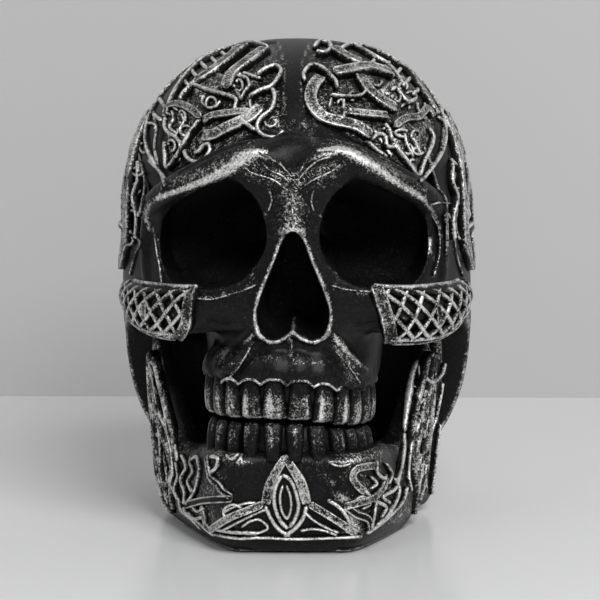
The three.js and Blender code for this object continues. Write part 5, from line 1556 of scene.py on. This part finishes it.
craniumTree = treeOf(cranium)
onCranium = seenOn(cranium)


def openRing(order, x, y, r):  # each ring is open somewhere else, and a little oval
    oval = 0.25 * math.sin(order * 2.3)
    return ("thin", [(x + r * math.cos(k * 0.8 + order * 1.9) * (1 + oval),
                      y + r * math.sin(k * 0.8 + order * 1.9) * (1 - oval)) for k in range(5 + order % 3)])


small = [openRing(order, *ring) for order, ring in enumerate(seenRings)]
small += [("narrow", [first, last]) for first, last in seenHatches]
smallPiece = pieceFrom("small_relief", strapSheets(onCranium, small, rise=0.0011))
finishPiece(smallPiece, strapFinish, "rubbed_silver")
linePiece = pieceFrom("face_lines", strapSheets(onCranium, seenLines, rise=0.0006) + [gumEdge()[1]])
finishPiece(linePiece, lineFinish, "rubbed_silver")
print("face lines done")



# the jaw casting

jawSoftStrokes = [
    (1.4, [12, 14, 14], [(168, 508), (208, 532), (242, 550)]),
    (1.4, [14, 14, 12], [(346, 550), (378, 540), (412, 510)]),
]
jawStrokes = [
    (0.9, [3, 3], [(228, 458), (240, 459)]),
    (0.9, [2.5, 2.5], [(330, 462), (352, 463)]),
    (0.42, [6, 7], [(318, 470), (332, 484)]),
    (0.85, [6, 6], [(338, 496), (350, 503)]),
    (0.9, [6, 7], [(348, 516), (356, 530)]),
    (0.46, [8, 8], [(165, 492), (190, 522)]),
    (0.5, [7, 7], [(214, 492), (232, 500)]), (0.4, [10, 10], [(190, 462), (206, 520)]),
    (0.40, [10, 10], [(424, 488), (398, 520)]),
    (0.34, [10, 10], [(345, 475), (372, 492)]),
    (0.7, [2.2, 2.2], [(222, 536), (290, 538), (362, 537)]),
]


def jawRelief(piece):
    # worm-like relief on the outer face of the branches and beside the chin
    points, normals = pointsOf(piece), normalsOf(piece)
    outer = smoothShare(0.0, 0.5, normals[:, 0] * np.sign(points[:, 0]) - 0.2 * normals[:, 1])
    side = smoothShare(0.016, 0.022, np.abs(points[:, 0] + 0.001)) * smoothShare(0.003, 0.006, points[:, 2])
    return 0.8 * outer * side


def makeJaw():
    piece = pieceFrom("jaw_shape", [jawWall()])
    recast(piece, skull["voxel"])
    edges = edgesOf(piece)
    setPoints(piece, evened(pointsOf(piece), edges, 3))
    points = pointsOf(piece)
    soft = brushed(points, normalsOf(piece), jawSoftStrokes)
    smooth = evened(points, edges, 70)
    smooth[:, 2] = np.maximum(smooth[:, 2], points[:, 2] * 0.999)
    setPoints(piece, points + (smooth - points) * np.clip(soft, 0, 1)[:, None])
    points, normals = pointsOf(piece), normalsOf(piece)
    worn = smoothShare(0.00003, 0.0002, standing(piece, edges, 6)) * 0.8
    worn *= 1 - brushed(points, normals, quietStrokes[-2:])
    giveLayer(piece, "rub", np.maximum(worn, brushed(points, normals, jawStrokes)))
    giveLayer(piece, "panel", jawRelief(piece))
    giveLayer(piece, "deep", np.zeros(len(points)))
    return piece


jawPiece = makeJaw()
finishPiece(jawPiece, castingFinish, "black_resin", "jaw_casting")
print("jaw done:", len(jawPiece.data.vertices), "points")

for name, upper in (("upper_teeth", True), ("lower_teeth", False)):
    row = [crown(turn, wide, upper) for turn, wide in toothTurns(upper)] + [gumBar(upper)]
    finishPiece(pieceFrom(name + "_row", row), toothFinish, "rubbed_teeth", name)
print("teeth done")


def foreheadSurface(across, up):
    return vaultSurface(across, np.asarray(up) * 0.986)


for word, table in (("left", foreheadLeft), ("right", foreheadRight)):
    forehead = strapPiece("forehead_" + word, foreheadSurface, table)
    finishPiece(forehead, strapFinish, "rubbed_silver", "forehead_knot_" + word)
seenJaw = seenOn(jawPiece)
for name, table, nodes in (("chin_arch", chinArch, ["chin_knot"]),
                           ("jaw_side_left", jawKnotLeft, ["jaw_knot_left"]),
                           ("jaw_side_right", jawKnotRight, ["jaw_knot_right"]),
                           ("branch_lines", branchLines, [])):
    knot = pieceFrom(name, strapSheets(seenJaw, table, rise=0.0013))
    finishPiece(knot, strapFinish, "rubbed_silver", *nodes)
for word, side in (("left", -1), ("right", 1)):
    temples = strapPiece("temple_" + word, vaultSurface, temple, side)
    finishPiece(temples, strapFinish, "rubbed_silver", "temple_knot_" + word)
    branch = strapPiece("ramus_" + word, jawSurface, jawPanel, side)
    finishPiece(branch, fadedFinish, "rubbed_silver", "jaw_panel_" + word)
    band = pieceFrom("sleeve_" + word, latticeSleeve(side))
    finishPiece(band, sleeveFinish, "rubbed_silver", "cheek_band_" + word)
print("straps and sleeves done")

plateFinish = plainFinish("plainPlate", (0.008, 0.008, 0.009, 1), (0.02, 0.02, 0.021, 1), 900, 0.5, 0.7, 0.2)
feltFinish = plainFinish("blackFelt", (0.004, 0.004, 0.005, 1), (0.016, 0.016, 0.018, 1), 3200, 0.9, 1.0, 0.8)
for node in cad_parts:
    name = node if isinstance(node, str) else node.get("name", "")
    if name == "base_plate" or name.startswith("felt_pad"):
        thing = bpy.data.objects[name]
        for slotItem in thing.material_slots:
            slotItem.material = plateFinish if name == "base_plate" else feltFinish


# floor, wall, lamps and camera

room = {
    "wallBack": 0.2235, "floorSize": 3.0, "aim": (0, 0, 0.08),
    "floor": {"colour": (0.71, 0.71, 0.71, 1), "rough": 0.22},
    "wall": {"colour": (0.50, 0.495, 0.495, 1), "rough": 0.8},
    "key": {"at": (0.50, -1.14, 1.2), "size": (0.8, 0.8), "power": 24.5},
    "fill": {"at": (-0.6, -0.7, 0.8), "size": (0.5, 0.6), "power": 1.2},
    "world": {"colour": (0.95, 0.97, 1.0, 1), "strength": 0.315},
}


def makeStage():
    half, wallAt = room["floorSize"] / 2, room["wallBack"] + backShift
    floor = bmesh.new()
    bmesh.ops.create_grid(floor, x_segments=8, y_segments=8, size=half)
    bmesh.ops.translate(floor, verts=floor.verts, vec=(0, wallAt - half, 0))
    floorPiece = pieceFrom("floor", [floor])
    wall = bmesh.new()
    bmesh.ops.create_grid(wall, x_segments=8, y_segments=8, size=half)
    bmesh.ops.rotate(wall, verts=wall.verts, cent=(0, 0, 0), matrix=Matrix.Rotation(math.pi / 2, 3, "X"))
    bmesh.ops.translate(wall, verts=wall.verts, vec=(0, wallAt, half))
    wallPiece = pieceFrom("wall", [wall])
    for piece in (floorPiece, wallPiece):
        material, tree, skin = newMaterial(piece.name + "Finish")
        skin.inputs["Base Color"].default_value = room[piece.name]["colour"]
        skin.inputs["Roughness"].default_value = room[piece.name]["rough"]
        if piece is wallPiece:  # seen through from behind, so that the back of the skull shows
            side = addNode(tree, "ShaderNodeNewGeometry", (-300, 300))
            clear = addNode(tree, "ShaderNodeBsdfTransparent", (0, -300))
            mix = addNode(tree, "ShaderNodeMixShader", (300, 0))
            tree.links.new(side.outputs["Backfacing"], mix.inputs[0])
            tree.links.new(skin.outputs["BSDF"], mix.inputs[1])
            tree.links.new(clear.outputs["BSDF"], mix.inputs[2])
            tree.links.new(mix.outputs["Shader"], tree.nodes["Material Output"].inputs["Surface"])
        piece.data.materials.append(material)


makeStage()


def lamp(name, own):
    data = bpy.data.lights.new(name, "AREA")
    data.shape = "RECTANGLE"
    data.size, data.size_y = own["size"]
    data.energy = own["power"]
    thing = bpy.data.objects.new(name, data)
    thing.location = own["at"]
    thing.rotation_euler = (Vector(room["aim"]) - Vector(own["at"])).to_track_quat("-Z", "Y").to_euler()
    scene.collection.objects.link(thing)


lamp("keyLamp", room["key"])
lamp("fillLamp", room["fill"])
world = bpy.data.worlds.new("softRoom")
scene.world = world
world.use_nodes = True
sky = world.node_tree.nodes["Background"]
sky.inputs["Color"].default_value = room["world"]["colour"]
sky.inputs["Strength"].default_value = room["world"]["strength"]
print("stage done")

scene.view_settings.view_transform = "Standard"
